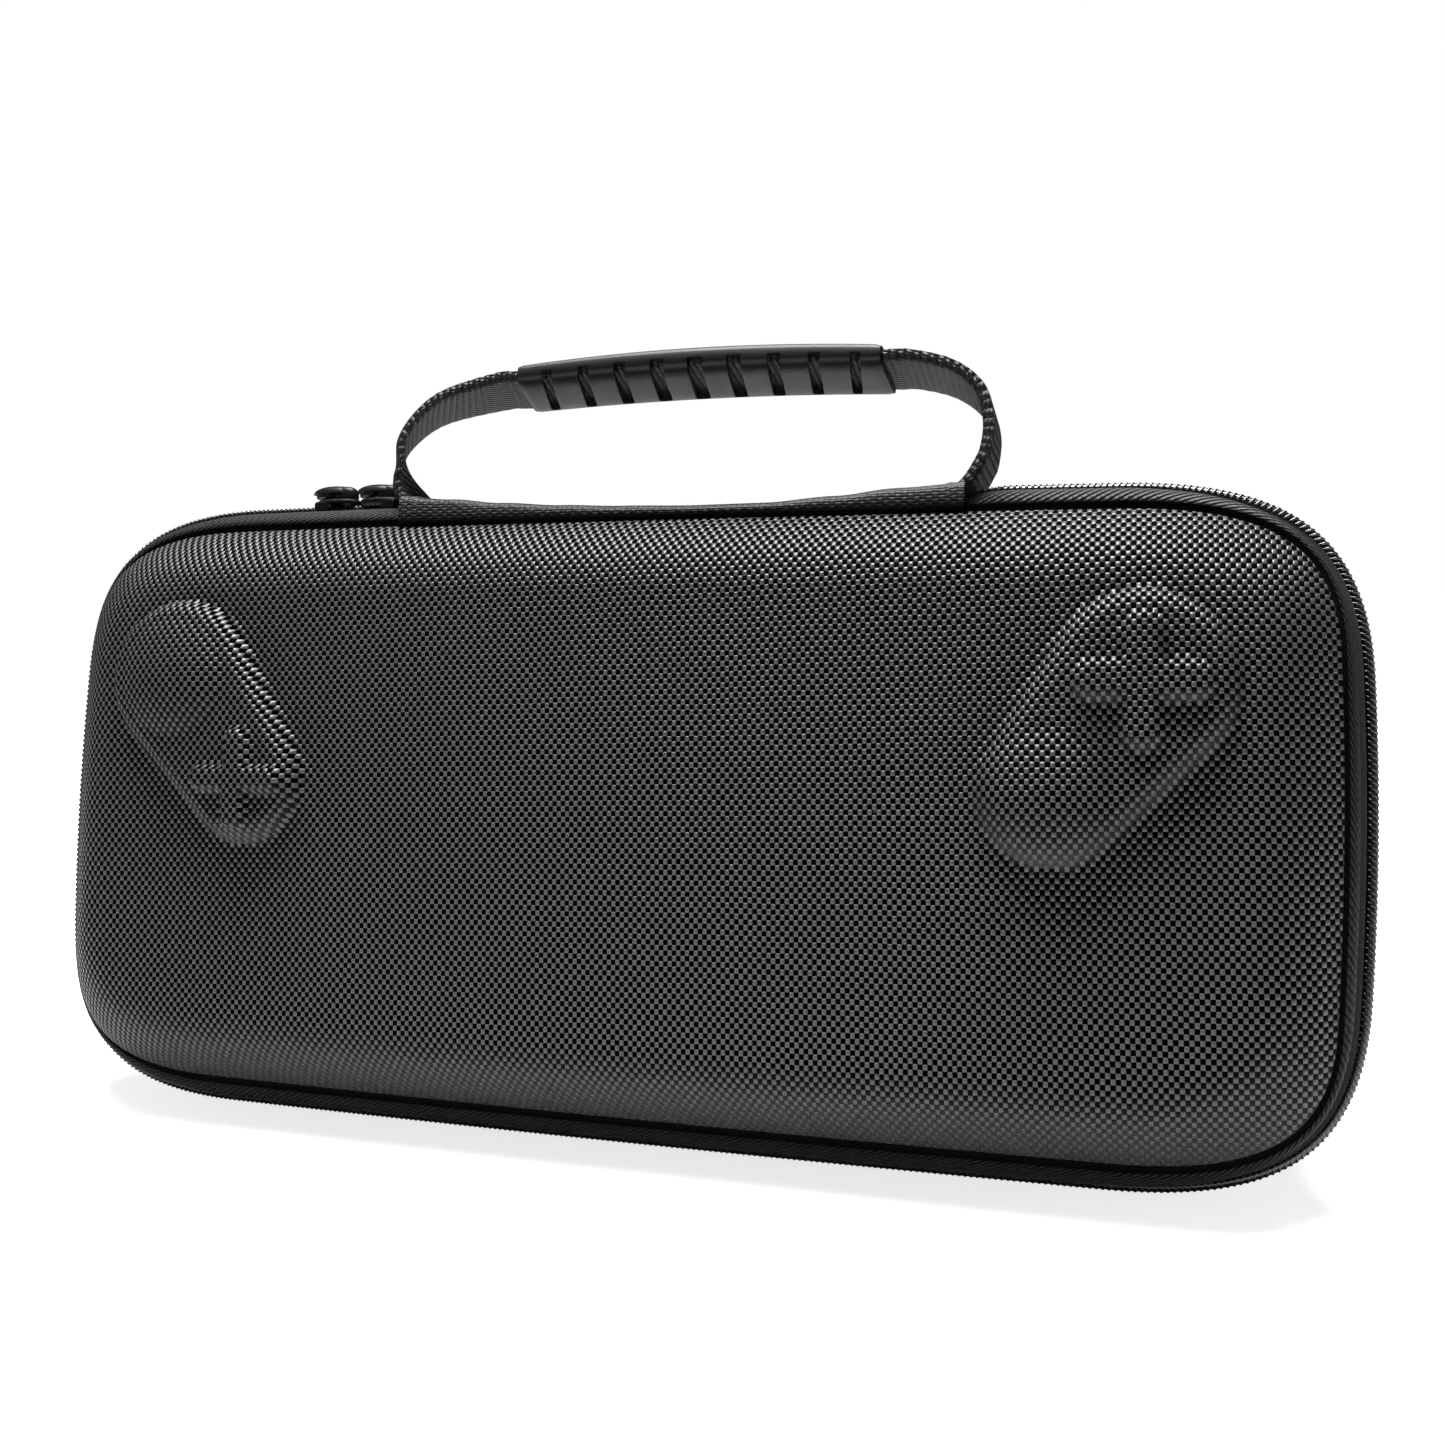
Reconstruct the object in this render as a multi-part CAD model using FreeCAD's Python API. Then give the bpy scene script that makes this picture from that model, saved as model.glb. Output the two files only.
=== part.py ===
import FreeCAD, Part
import math
import os

# Moulded zip-round carrying case for a handheld games console, with a webbing handle and two sliders.
# Millimetres, +Z up, lid and reliefs to -Y. The case stands on the long edge of its zipper and
# leans back on the base's lower edge. Shapes are built upright about the seam plane, y = 0,
# and leaned and moved on export, so that the origin is under the centre of the whole case.

# Case
case_width = 330.0
case_height = 157.5
lid_depth = 23.5
base_depth = 48.0
shell_wall = 4.2
lid_slope_inset = 9.3
base_draft = 0.75
base_corner = 6.0
side_share = 0.925

# Outline at the outermost line of the zipper, and at the crease between welt and shell
chain_reach_x = 55.6
chain_reach_z = 46.8
crease_reach_x = 46.5
crease_reach_z = 32.7
corner_fullness = 0.70
long_bow = 0.58
end_bow = 0.85
face_reach_loss_x = 0.66
face_reach_loss_z = 0.36

# Zipper, welt and flange
chain_half = 3.4
chain_gap = 0.6
chain_round = 1.1
chain_thick = 2.4
tape_thick = 0.5
welt_start = 4.6
welt_end = 10.1
welt_proud = 1.4
crease_inset = 6.12
flange_thick = 2.6
binding_thick = 1.0
binding_wrap = 2.9
binding_gap = 0.2
running_gap = 0.3

# Reliefs on the lid's face
pad_height = 3.5
dome_height = 2.0
cross_height = 1.7
pad_big_radius = 19.5
pad_small_radius = 15.6
pad_slope = 4.4
right_big = (117.0, 110.2)
right_small = (98.6, 86.7)
left_big = (-117.0, 109.4)
left_small = (-97.0, 84.5)
big_dome_radius = 14.8
small_dome_radius = 12.8
big_cross_arm = 14.0
small_cross_arm = 12.2
big_cross_half = 3.8
small_cross_half = 3.0

# Hinge strip and handle
strip_centre = 6.0
strip_past_root = 2.25
strip_thick = 0.9
chain_past_strip = 1.6
strip_half = 10.4
webbing_width = 18.5
webbing_thick = 2.4
webbing_tail = 20.0
leg_span = 22.5
left_bulge = 8.6
right_bulge = 6.8
handle_rise = 29.0
grip_shift = 4.5
grip_length = 93.0
grip_width = 21.0
grip_mid_thick = 4.8
grip_end_thick = 4.0
grip_arch = 1.6
grip_bore_gap = 0.2
slot_count = 9
slot_first = 7.2
slot_mid_width = 3.0
slot_end_width = 1.9

# Sliders and pulls
slider_length = 12.4
slider_width = 8.4
slider_plate = 1.2
slider_spacing = 12.9
slider_from_strip = 10.4
crown_inset = 1.6
neck_half = 0.2
neck_length = 2.4
crown_length = 9.0
crown_height = 4.1
crown_bar = 1.1
crown_width = 2.0
post_size = 1.5
eye_hole = 1.7
eye_rim = 1.4
pull_length = 24.0
pull_width = 7.0
pull_thick = 1.0

# Inside
console_width = 299.0
console_height = 131.0
console_depth = 41.0
console_body = 24.0
console_gap = 0.9
cradle_sheet = 3.0
cradle_rim = 1.5
recess_corner = 25.0
plinth_half = 78.0
strap_width = 30.0
strap_thick = 1.2
patch_thick = 1.0
patch_length = 40.0
strap_overlap = 44.0
strap_tab = 12.0
mesh_depth = 15.3
mesh_thick = 0.8
mesh_top = 104.0
mesh_binding = 7.0

half_width = case_width / 2
mid_z = case_height / 2
root_spacing = grip_length + 2 * leg_span
strip_length = root_spacing + 2 * strip_past_root
slot_pitch = (grip_length - 2 * slot_first) / (slot_count - 1)
FAR = 400.0


def vec(x, y, z):
    return FreeCAD.Vector(x, y, z)


def block(x0, x1, y0, y1, z0, z1):
    return Part.makeBox(x1 - x0, y1 - y0, z1 - z0, vec(x0, y0, z0))


def reach(inset):
    """How far a corner reaches along X and Z at this inset from the zipper's outermost line."""
    if inset <= crease_inset:
        share = inset / crease_inset
        return (chain_reach_x + share * (crease_reach_x - chain_reach_x),
                chain_reach_z + share * (crease_reach_z - chain_reach_z))
    beyond = inset - crease_inset
    return (crease_reach_x - face_reach_loss_x * beyond,
            crease_reach_z - face_reach_loss_z * beyond)


def outline(inset, y):
    """Closed outline of the case at depth y: bowed edges joined by full, soft corners."""
    beyond = max(0.0, inset - crease_inset)
    w = half_width - inset + (1.0 - side_share) * beyond
    h = mid_z - inset
    rx, rz = reach(inset)
    long_slope = 2 * long_bow / (w - rx)
    end_slope = 2 * end_bow / (h - rz)
    hx = corner_fullness * (rx - end_bow)
    hz = corner_fullness * (rz - long_bow)

    def at(x, z):
        return vec(x, y, mid_z + z)

    edges = []
    for sx, sz in ((1, 1), (1, -1), (-1, -1), (-1, 1)):
        start = (w - rx, h - long_bow)
        end = (w - end_bow, h - rz)
        poles = [start, (start[0] + hx, start[1] - hx * long_slope),
                 (end[0] - hz * end_slope, end[1] + hz), end]
        points = [at(sx * px, sz * pz) for px, pz in poles]
        if sx * sz < 0:
            points.reverse()
        curve = Part.BezierCurve()
        curve.setPoles(points)
        edges.append(curve.toShape())
    ring = []
    middles = [at(w, 0), at(0, -h), at(-w, 0), at(0, h)]
    for i in range(4):
        first = edges[i]
        following = edges[(i + 1) % 4]
        ring.append(first)
        a = first.Vertexes[-1].Point
        b = following.Vertexes[0].Point
        ring.append(Part.Arc(a, middles[i], b).toShape())
    return Part.Wire(ring)


def skin_solid(stations, ruled=False):
    """Solid through outlines given as (depth, inset), in the order of their depth."""
    return Part.makeLoft([outline(inset, y) for y, inset in stations], True, ruled)


def sampled(stations, count):
    """Evenly spread stations on a smooth curve through these ones."""
    curve = Part.BSplineCurve()
    curve.interpolate([vec(y, inset, 0) for y, inset in stations])
    return [(p.x, p.y) for p in curve.discretize(count)]


def inward(stations, wall):
    """Stations of the inner face, a wall's thickness inside the outer ones."""
    inner = []
    last = len(stations) - 1
    for i, (y, inset) in enumerate(stations):
        y0, i0 = stations[max(0, i - 1)]
        y1, i1 = stations[min(last, i + 1)]
        run = math.hypot(y1 - y0, i1 - i0)
        side = 1.0 if y1 > y0 else -1.0
        inner.append((y - side * wall * (i1 - i0) / run, inset + wall * side * (y1 - y0) / run))
    return inner


# Profiles of the welt and of the lid, depth from the seam and inset
rim_inset = crease_inset + shell_wall
welt_profile = [(welt_start, chain_thick), (welt_start + 0.9, welt_proud + 0.1),
                (welt_start + 2.3, welt_proud - 0.4), (welt_start + 4.0, welt_proud + 0.4),
                (welt_start + 5.1, crease_inset - 2.3), (welt_end, crease_inset - 0.4)]
welt_stations = sampled(welt_profile, 10)
lid_rise = lid_depth - welt_end
lid_profile = [(welt_end - 0.5, crease_inset),
               (welt_end + 0.33 * lid_rise, crease_inset + 0.50 * lid_slope_inset),
               (welt_end + 0.68 * lid_rise, crease_inset + lid_slope_inset),
               (lid_depth - 1.6, crease_inset + lid_slope_inset + 3.6),
               (lid_depth - 0.45, crease_inset + lid_slope_inset + 6.9),
               (lid_depth, crease_inset + lid_slope_inset + 10.0)]
lid_stations = sampled(lid_profile, 10)


def base_form(loss, near):
    """Steep-sided form of the base with a rounded back edge, this far inside its outer face."""
    back = base_depth - loss
    form = skin_solid([(near, crease_inset + loss), (back, crease_inset + base_draft + loss)], True)
    rim = [e for e in form.Edges if all(abs(v.Y - back) < 1e-6 for v in e.Vertexes)]
    return form.makeFillet(max(base_corner - loss, 2.0), rim)


def with_flange(wall, sign):
    """A moulded shell's outer form with the flange that the zipper is sewn to."""
    neck = skin_solid([(sign * welt_start, crease_inset), (sign * (welt_end - 0.5), crease_inset)], True)
    lip = chain_thick + tape_thick
    flange = skin_solid([(sign * welt_start, lip), (sign * (welt_start + flange_thick), lip)], True)
    return wall.fuse(neck).fuse(flange)


def lid_inside(gap=0.0):
    """Hollow of the lid, from past its rim to its floor."""
    mouth = rim_inset + gap
    inner = [(y, i) for y, i in inward(lid_stations, shell_wall + gap) if i > mouth + 0.4]
    first = inner[0][0] - 1.05 * (inner[0][1] - mouth)
    bowl = skin_solid([(-first, mouth)] + [(-y, i) for y, i in inner], True)
    throat = skin_solid([(-1.0, mouth), (-first, mouth)], True)
    return bowl.fuse(throat)


def two_circle(big, small, big_radius, small_radius, y):
    """Outline of two circles joined by their outer tangents, at depth y."""
    dx = small[0] - big[0]
    dz = small[1] - big[1]
    span = math.hypot(dx, dz)
    turn = math.acos((big_radius - small_radius) / span)
    aim = math.atan2(dz, dx)

    def on(centre, radius, angle):
        return vec(centre[0] + radius * math.cos(angle), y, centre[1] + radius * math.sin(angle))

    a = on(big, big_radius, aim + turn)
    b = on(big, big_radius, aim + math.pi)
    c = on(big, big_radius, aim - turn)
    d = on(small, small_radius, aim - turn)
    e = on(small, small_radius, aim)
    f = on(small, small_radius, aim + turn)
    return Part.Wire([Part.Arc(a, b, c).toShape(), Part.makeLine(c, d),
                      Part.Arc(d, e, f).toShape(), Part.makeLine(f, a)])


def pad(big, small, start, loss, height):
    """Relief that rises from the lid's face with soft sloping sides."""
    steps = [(0.0, 0.0), (0.30, 0.16), (0.75, 0.55), (1.0, 1.0)]
    wires = []
    for rise, share in steps:
        shrink = loss + share * pad_slope
        wires.append(two_circle(big, small, pad_big_radius - shrink, pad_small_radius - shrink,
                                -(start + rise * height)))
    return Part.makeLoft(wires, True)


def dome(centre, radius, start, height):
    """Spherical cap of this height on a circle of this radius."""
    ball = (radius ** 2 + height ** 2) / (2 * height)
    cap = Part.makeSphere(ball, vec(centre[0], -(start + height - ball), centre[1]))
    keep = Part.makeCylinder(radius, height + 1.5, vec(centre[0], -(start - 1.0), centre[1]), vec(0, -1, 0))
    return cap.common(keep)


def cross(centre, arm, w, start, height):
    """Plus sign with round arm ends, arms of half width w and softened top edges."""
    x, z = centre
    level = -(start - 1.0)

    def bar(ax, az):
        ends = []
        for s in (-1, 1):
            ex = x + s * (ax - w) if ax > az else x
            ez = z + s * (az - w) if az > ax else z
            ends.append(Part.makeCylinder(w, height + 1.0, vec(ex, level, ez), vec(0, -1, 0)))
        inner_x = ax - w if ax > az else ax
        inner_z = az - w if az > ax else az
        body = block(x - inner_x, x + inner_x, level - height - 1.0, level, z - inner_z, z + inner_z)
        return body.fuse(ends)

    plus = bar(arm, w).fuse(bar(w, arm)).removeSplitter()
    top = [e for e in plus.Edges if all(abs(v.Y - (level - height - 1.0)) < 1e-6 for v in e.Vertexes)]
    return plus.makeFillet(0.45 * height, top)


def make_front_shell():
    shell = with_flange(skin_solid([(-y, i) for y, i in lid_stations], True), -1)
    top = lid_depth + pad_height
    sunk = lid_depth - 0.6
    for big, small in ((right_big, right_small), (left_big, left_small)):
        shell = shell.fuse(pad(big, small, sunk, 0.0, pad_height + 0.6))
    shell = shell.fuse([dome(right_small, small_dome_radius, top, dome_height),
                        dome(left_big, big_dome_radius, top, dome_height),
                        cross(right_big, big_cross_arm, big_cross_half, top, cross_height),
                        cross(left_small, small_cross_arm, small_cross_half, top, cross_height)])
    shell = shell.cut(lid_inside())
    floor = lid_depth - shell_wall
    for big, small in ((right_big, right_small), (left_big, left_small)):
        shell = shell.cut(pad(big, small, floor - 1.0, 0.8 * shell_wall, pad_height + 1.0))
    return shell


def make_rear_shell():
    return with_flange(base_form(0.0, welt_end - 0.5), 1).cut(base_form(shell_wall, 1.0))


def make_tape(sign):
    """Zipper tape: a flat web under the coil, then a rolled welt over the flange."""
    web = skin_solid([(sign * chain_gap / 2, chain_thick), (sign * welt_start, chain_thick)], True)
    welt = skin_solid([(sign * y, i) for y, i in welt_stations], True)
    lip = chain_thick + tape_thick
    clear = skin_solid([(sign * (chain_gap / 2 - 1.0), lip), (sign * (welt_start + flange_thick), lip)], True)
    behind = skin_solid([(sign * welt_start, crease_inset), (sign * (welt_end + 1.0), crease_inset)], True)
    return web.fuse(welt).cut(clear).cut(behind)


def strip_zone(extra=0.0):
    half = strip_length / 2 - extra
    return block(strip_centre - half, strip_centre + half, -FAR, FAR, mid_z, FAR)


def make_coil(sign):
    """Half of the spiral chain, open along the hinge strip and just past its ends, under the legs."""
    near = sign * chain_gap / 2
    far = sign * chain_half
    lip = 0.7
    steps = [(near, 0.35), (near + sign * 0.9, 0.0), (far - sign * chain_round, 0.0), (far, lip)]
    ring = skin_solid(steps, True)
    inside = skin_solid([(near - sign, chain_thick), (far + sign, chain_thick)], True)
    return ring.cut(inside).cut(strip_zone(-chain_past_strip))


def make_binding(sign):
    """Ribbon folded over the flange's inner edge."""
    face = sign * (welt_start - binding_thick)
    outside = rim_inset + binding_gap
    edge = outside + binding_thick
    ring = skin_solid([(face, crease_inset - 1.0), (sign * welt_start, crease_inset - 1.0)], True)
    wrap = skin_solid([(face, outside), (sign * (welt_start + binding_wrap), outside)], True)
    clear = skin_solid([(sign * 1.0, edge), (sign * (welt_start + binding_wrap + 1.0), edge)], True)
    return ring.fuse(wrap).cut(clear)


def top_level(x):
    """Height of the zipper's outermost line over the hinge strip."""
    return case_height - long_bow * (x / (half_width - chain_reach_x)) ** 2


tail_low = case_height - welt_proud + 0.4 + running_gap
strip_low_crown = tail_low + strip_thick + 0.2
strip_high_crown = tail_low + webbing_thick + running_gap + strip_thick


def strip_arch(x, lift, grow, base):
    """Section of the hinge strip at x: round in the middle, square-shouldered over the webbing."""
    foot = top_level(x) - crease_inset
    low = foot - base
    crown = strip_low_crown + lift * (strip_high_crown - strip_low_crown) - strip_thick
    half = strip_half
    round_side = [(half, low, 1.0, 0.0), (half - 0.4, foot + 2.6, 0.96, 0.28),
                  (half - 1.7, foot + 4.5, 0.70, 0.72), (half - 4.6, crown - 0.35, 0.25, 0.97),
                  (half - 7.4, crown - 0.06, 0.05, 1.0), (0.0, crown, 0.0, 1.0)]
    square_side = [(half, low, 1.0, 0.0), (half - 0.05, foot + 2.8, 1.0, 0.05),
                   (half - 0.25, foot + 5.8, 1.0, 0.1), (half - 0.65, crown - 0.35, 0.75, 0.66),
                   (half - 1.8, crown, 0.15, 1.0), (0.0, crown, 0.0, 1.0)]
    right = []
    for a, b in zip(round_side, square_side):
        y, z, ly, lz = [u + lift * (v - u) for u, v in zip(a, b)]
        right.append((y + grow * ly, z + grow * lz))
    left = [(-y, z) for y, z in reversed(right[:-1])]
    points = [vec(x, y, z) for y, z in right + left]
    curve = Part.BSplineCurve()
    curve.interpolate(points)
    return Part.Wire([curve.toShape(), Part.makeLine(points[-1], points[0])])


def make_hinge_strip():
    """Woven gusset over the hinge, raised at both ends by the webbing under it."""
    half = strip_length / 2
    lifts = [1.0, 1.0, 1.0, 0.98, 0.70, 0.25, 0.05]
    count = len(lifts)
    lifts = lifts + [0.0] + lifts[::-1]
    outer = []
    inner = []
    for i, lift in enumerate(lifts):
        share = i / count - 1.0
        x = strip_centre + share * half
        outer.append(strip_arch(x, lift, strip_thick, 0.0))
        past = 1.01 if abs(share) == 1.0 else 1.0
        inner.append(strip_arch(strip_centre + past * share * half, lift, 0.0, 1.0))
    return Part.makeLoft(outer, True, True).cut(Part.makeLoft(inner, True, True))


handle_middle = strip_centre
root_z = tail_low + webbing_thick / 2
grip_centre = handle_middle + grip_shift


def handle_curve():
    """Middle line of the webbing: left leg, long flat arch and right leg."""
    left = handle_middle - root_spacing / 2
    right = handle_middle + root_spacing / 2
    rise = handle_rise
    grip_left = grip_centre - grip_length / 2
    grip_right = grip_centre + grip_length / 2
    heights = [(left + 1.5, 0.0), (left - 0.21 * left_bulge, 0.05), (left - 0.47 * left_bulge, 1.2),
               (left - 0.65 * left_bulge, 3.2), (left - 0.77 * left_bulge, 6.2),
               (left - left_bulge, 0.45 * rise), (left - 0.42 * left_bulge, 0.68 * rise),
               (left + 0.55 * left_bulge, 0.84 * rise), (grip_left - 6.5, 0.945 * rise),
               (grip_left, rise - grip_arch), (grip_centre - grip_length / 4, rise - grip_arch / 4),
               (grip_centre, rise), (grip_centre + grip_length / 4, rise - grip_arch / 4),
               (grip_right, rise - grip_arch),
               (grip_right + 6.5, 0.935 * rise), (right - 0.3 * right_bulge, 0.84 * rise),
               (right + 0.68 * right_bulge, 0.66 * rise), (right + right_bulge, 0.43 * rise),
               (right + 0.93 * right_bulge, 6.2), (right + 0.80 * right_bulge, 3.2),
               (right + 0.58 * right_bulge, 1.2), (right + 0.27 * right_bulge, 0.05), (right - 1.5, 0.0)]
    curve = Part.BSplineCurve()
    curve.interpolate(Points=[vec(x, 0, root_z + up) for x, up in heights])
    return curve


def ribbon(curve, thick, width, tails, steps=48):
    """Flat band along a curve in the XZ plane, as one extruded outline."""
    first, last = curve.FirstParameter, curve.LastParameter
    up, down = [], []
    for i in range(steps + 1):
        t = first + (last - first) * i / steps
        p = curve.value(t)
        d = curve.tangent(t)[0]
        n = vec(-d.z, 0, d.x)
        up.append(p + n * (thick / 2))
        down.append(p - n * (thick / 2))
    faces = []
    for line in (up, down):
        side = Part.BSplineCurve()
        side.interpolate(line)
        faces.append(side.toShape())
    shape = Part.Wire([faces[0], Part.makeLine(up[-1], down[-1]), faces[1], Part.makeLine(down[0], up[0])])
    band = Part.Face(shape).extrude(vec(0, width, 0))
    band.translate(vec(0, -width / 2, 0))
    if not tails:
        return band
    half = root_spacing / 2
    for s in (-1, 1):
        end = handle_middle + s * (half - 1.4)
        inner = handle_middle + s * (half - webbing_tail)
        z = root_z
        band = band.fuse(block(min(end, inner), max(end, inner), -width / 2, width / 2,
                               z - thick / 2, z + thick / 2))
    return band


def make_webbing():
    return ribbon(handle_curve(), webbing_thick, webbing_width, True)


def grip_section(x, z, width, thick):
    """Rounded flat section of the grip, across X."""
    r = 0.48 * thick
    a, b = width / 2, thick / 2
    points = []
    for sy, sz in ((1, 1), (-1, 1), (-1, -1), (1, -1)):
        centre = (sy * (a - r), sz * (b - r))
        start = math.atan2(sz, sy) - math.pi / 4
        arc = [vec(x, centre[0] + r * math.cos(start + k * math.pi / 4),
                   z + centre[1] + r * math.sin(start + k * math.pi / 4)) for k in range(3)]
        points.append(arc)
    edges = []
    for i in range(4):
        edges.append(Part.Arc(*points[i]).toShape())
        edges.append(Part.makeLine(points[i][2], points[(i + 1) % 4][0]))
    return Part.Wire(edges)


def arch_z(share):
    return root_z + handle_rise - grip_arch * share ** 2


def make_grip():
    """Moulded sleeve on the webbing, slotted across its underside."""
    wires = []
    for share in (-1.0, -0.55, 0.0, 0.55, 1.0):
        thick = grip_mid_thick + (grip_end_thick - grip_mid_thick) * share ** 2
        wires.append(grip_section(grip_centre + share * grip_length / 2, arch_z(share), grip_width, thick))
    sleeve = Part.makeLoft(wires, True)
    bore = ribbon(handle_curve(), webbing_thick + 2 * grip_bore_gap, webbing_width + 2 * grip_bore_gap, False)
    sleeve = sleeve.cut(bore)
    for i in range(slot_count):
        x = grip_centre - grip_length / 2 + slot_first + i * slot_pitch
        from_middle = abs(i - (slot_count - 1) / 2) / ((slot_count - 1) / 2)
        width = slot_mid_width + (slot_end_width - slot_mid_width) * from_middle
        reach_y = grip_width / 2 + 0.6 - 1.6 * from_middle
        z = arch_z(2 * (x - grip_centre) / grip_length)
        cut = block(x - width / 2, x + width / 2, -reach_y + width / 2, reach_y - width / 2, z - grip_mid_thick, z)
        for s in (-1, 1):
            cut = cut.fuse(Part.makeCylinder(width / 2, grip_mid_thick,
                                             vec(x, s * (reach_y - width / 2), z - grip_mid_thick)))
        sleeve = sleeve.cut(cut)
    return sleeve


strip_left = strip_centre - strip_length / 2
slider_b_x = strip_left - slider_from_strip
slider_a_x = slider_b_x - slider_spacing


def chain_z(x):
    return top_level(x)


def slider_tilt(x):
    return math.degrees(2 * long_bow * -x / (half_width - chain_reach_x) ** 2)


def make_slider(x):
    """Slider with upper and lower plates, a thin neck between the coils and a crown."""
    top = case_height + running_gap
    plate = block(-slider_length / 2, slider_length / 2, -slider_width / 2, slider_width / 2,
                  top, top + slider_plate)
    corners = [e for e in plate.Edges if abs(e.Vertexes[0].Z - e.Vertexes[-1].Z) > 0.5]
    plate = plate.makeFillet(2.2, corners)
    lips = []
    for s in (-1, 1):
        y = s * (slider_width / 2 - 0.3)
        lips.append(block(-slider_length / 2 + 2.2, slider_length / 2 - 2.2, y - 0.3, y + 0.3,
                          top - 1.0, top + 0.3))
    low = case_height - chain_thick - tape_thick - running_gap
    lower = block(-slider_length / 2 + 0.6, slider_length / 2 - 0.6, -chain_half + 0.2, chain_half - 0.2,
                  low - slider_plate, low)
    corners = [e for e in lower.Edges if abs(e.Vertexes[0].Z - e.Vertexes[-1].Z) > 0.5]
    lower = lower.makeFillet(1.8, corners)
    neck = block(slider_length / 2 - neck_length - 1.2, slider_length / 2 - 1.2, -neck_half, neck_half,
                 low - 0.2, top + 0.2)
    crown_left = -slider_length / 2 + crown_inset
    crown_top = top + slider_plate + crown_height
    half = crown_width / 2
    bow = block(crown_left, crown_left + crown_length, -half, half, top + 0.6, crown_top)
    round_edges = [e for e in bow.Edges if abs(e.Vertexes[0].Y - e.Vertexes[-1].Y) > 0.5
                   and e.Vertexes[0].Z > crown_top - 0.1]
    bow = bow.makeFillet(2.6, round_edges)
    hole = block(crown_left + post_size, crown_left + crown_length - post_size, -FAR, FAR,
                 top + slider_plate, crown_top - crown_bar)
    round_edges = [e for e in hole.Edges if abs(e.Vertexes[0].Y - e.Vertexes[-1].Y) > 0.5
                   and e.Vertexes[0].Z > crown_top - crown_bar - 0.1]
    hole = hole.makeFillet(1.3, round_edges)
    body = plate.fuse(lips + [lower, neck, bow]).cut(hole)
    return place_slider(body, x)


def make_pull(x):
    """Pull with a round eye about the crown's post, lying towards the back."""
    post_x = -slider_length / 2 + crown_inset + post_size / 2
    level = case_height + running_gap + slider_plate + 0.8
    rim = eye_hole + eye_rim
    eye = Part.makeCylinder(rim, pull_thick, vec(post_x, 0, level))
    stem = block(post_x - 1.6, post_x + 1.6, 0, rim + 3.0, level, level + pull_thick)
    half = pull_width / 2
    start = rim + 1.5
    tab = block(post_x - half, post_x + half, start, pull_length, level, level + pull_thick)
    corners = [e for e in tab.Edges if abs(e.Vertexes[0].Z - e.Vertexes[-1].Z) > 0.5]
    tab = tab.makeFillet(2.6, corners)
    window = block(post_x - 1.6, post_x + 1.6, start + 3.5, pull_length - 6.0, level - 1, level + pull_thick + 1)
    corners = [e for e in window.Edges if abs(e.Vertexes[0].Z - e.Vertexes[-1].Z) > 0.5]
    window = window.makeFillet(1.4, corners)
    hole = Part.makeCylinder(eye_hole, FAR, vec(post_x, 0, level - FAR / 2))
    return place_slider(eye.fuse([stem, tab]).cut(window).cut(hole), x)


def place_slider(shape, x):
    shape.rotate(vec(0, 0, case_height), vec(0, 1, 0), -slider_tilt(x))
    shape.translate(vec(x, 0, chain_z(x) - case_height))
    return shape


def rounded_prism(half_x, half_z, radius, y0, y1):
    body = block(-half_x, half_x, y0, y1, mid_z - half_z, mid_z + half_z)
    corners = [e for e in body.Edges if abs(e.Vertexes[0].Y - e.Vertexes[-1].Y) > 0.5]
    return body.makeFillet(radius, corners)


cradle_back = base_depth - shell_wall - running_gap
well_floor = cradle_back - cradle_sheet
plinth_top = well_floor - (console_depth - console_body)


def make_cradle():
    """Formed tray: two deep wells for the console's grips and a raised plinth between them."""
    gap = running_gap
    clear_binding = binding_gap + binding_thick + gap
    body = base_form(shell_wall + gap, cradle_rim)
    past_binding = welt_start + binding_wrap + gap
    rim_cut = skin_solid([(0.0, 0.0), (past_binding, 0.0)], True)
    keep = skin_solid([(0.0, rim_inset + clear_binding), (past_binding, rim_inset + clear_binding)], True)
    body = body.cut(rim_cut.cut(keep))
    half_x = console_width / 2 + console_gap
    half_z = console_height / 2 + console_gap
    body = body.cut(rounded_prism(half_x, half_z, recess_corner, -1.0, plinth_top))
    for s in (-1, 1):
        well_x = (plinth_half + half_x) / 2
        well = block(-(half_x - plinth_half) / 2, (half_x - plinth_half) / 2, plinth_top - 1.0, well_floor,
                     mid_z - half_z, mid_z + half_z)
        well.translate(vec(s * well_x, 0, 0))
        body = body.cut(well.common(rounded_prism(half_x, half_z, recess_corner, 0.0, FAR)))
    hollow = block(-plinth_half + cradle_sheet, plinth_half - cradle_sheet, plinth_top + cradle_sheet, FAR,
                   mid_z - half_z + 6.0, mid_z + half_z - 6.0)
    return body.cut(hollow)


strap_back = plinth_top - running_gap
recess_top = mid_z + console_height / 2 + console_gap
recess_bottom = mid_z - console_height / 2 - console_gap


def make_strap(upper):
    """One half of the console strap, sewn to the recess wall by a turned tab."""
    half = strap_width / 2
    step = strap_thick + 2 * patch_thick
    back = strap_back - (step if upper else 0.0)
    wall = recess_top - running_gap if upper else recess_bottom + running_gap
    free = mid_z - strap_overlap / 2 if upper else mid_z + strap_overlap / 2
    sign = 1.0 if upper else -1.0
    z0, z1 = sorted((wall, free))
    lie = block(-half, half, back - strap_thick, back, z0, z1)
    t0, t1 = sorted((wall, wall - sign * strap_thick))
    tab = block(-half, half, back - strap_tab, back, t0, t1)
    return lie.fuse(tab).removeSplitter()


def make_patch(upper):
    """Hook or loop patch sewn to its half of the strap."""
    half = strap_width / 2 - 1.5
    back = strap_back - strap_thick - (patch_thick if upper else 0.0)
    return block(-half, half, back - patch_thick, back, mid_z - patch_length / 2, mid_z + patch_length / 2)


def lid_slice(y0, y1, z0, z1):
    """Part of the lid's hollow between two depths and two heights, just clear of its walls."""
    return lid_inside(running_gap).common(block(-FAR, FAR, y0, y1, z0, z1))


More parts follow.
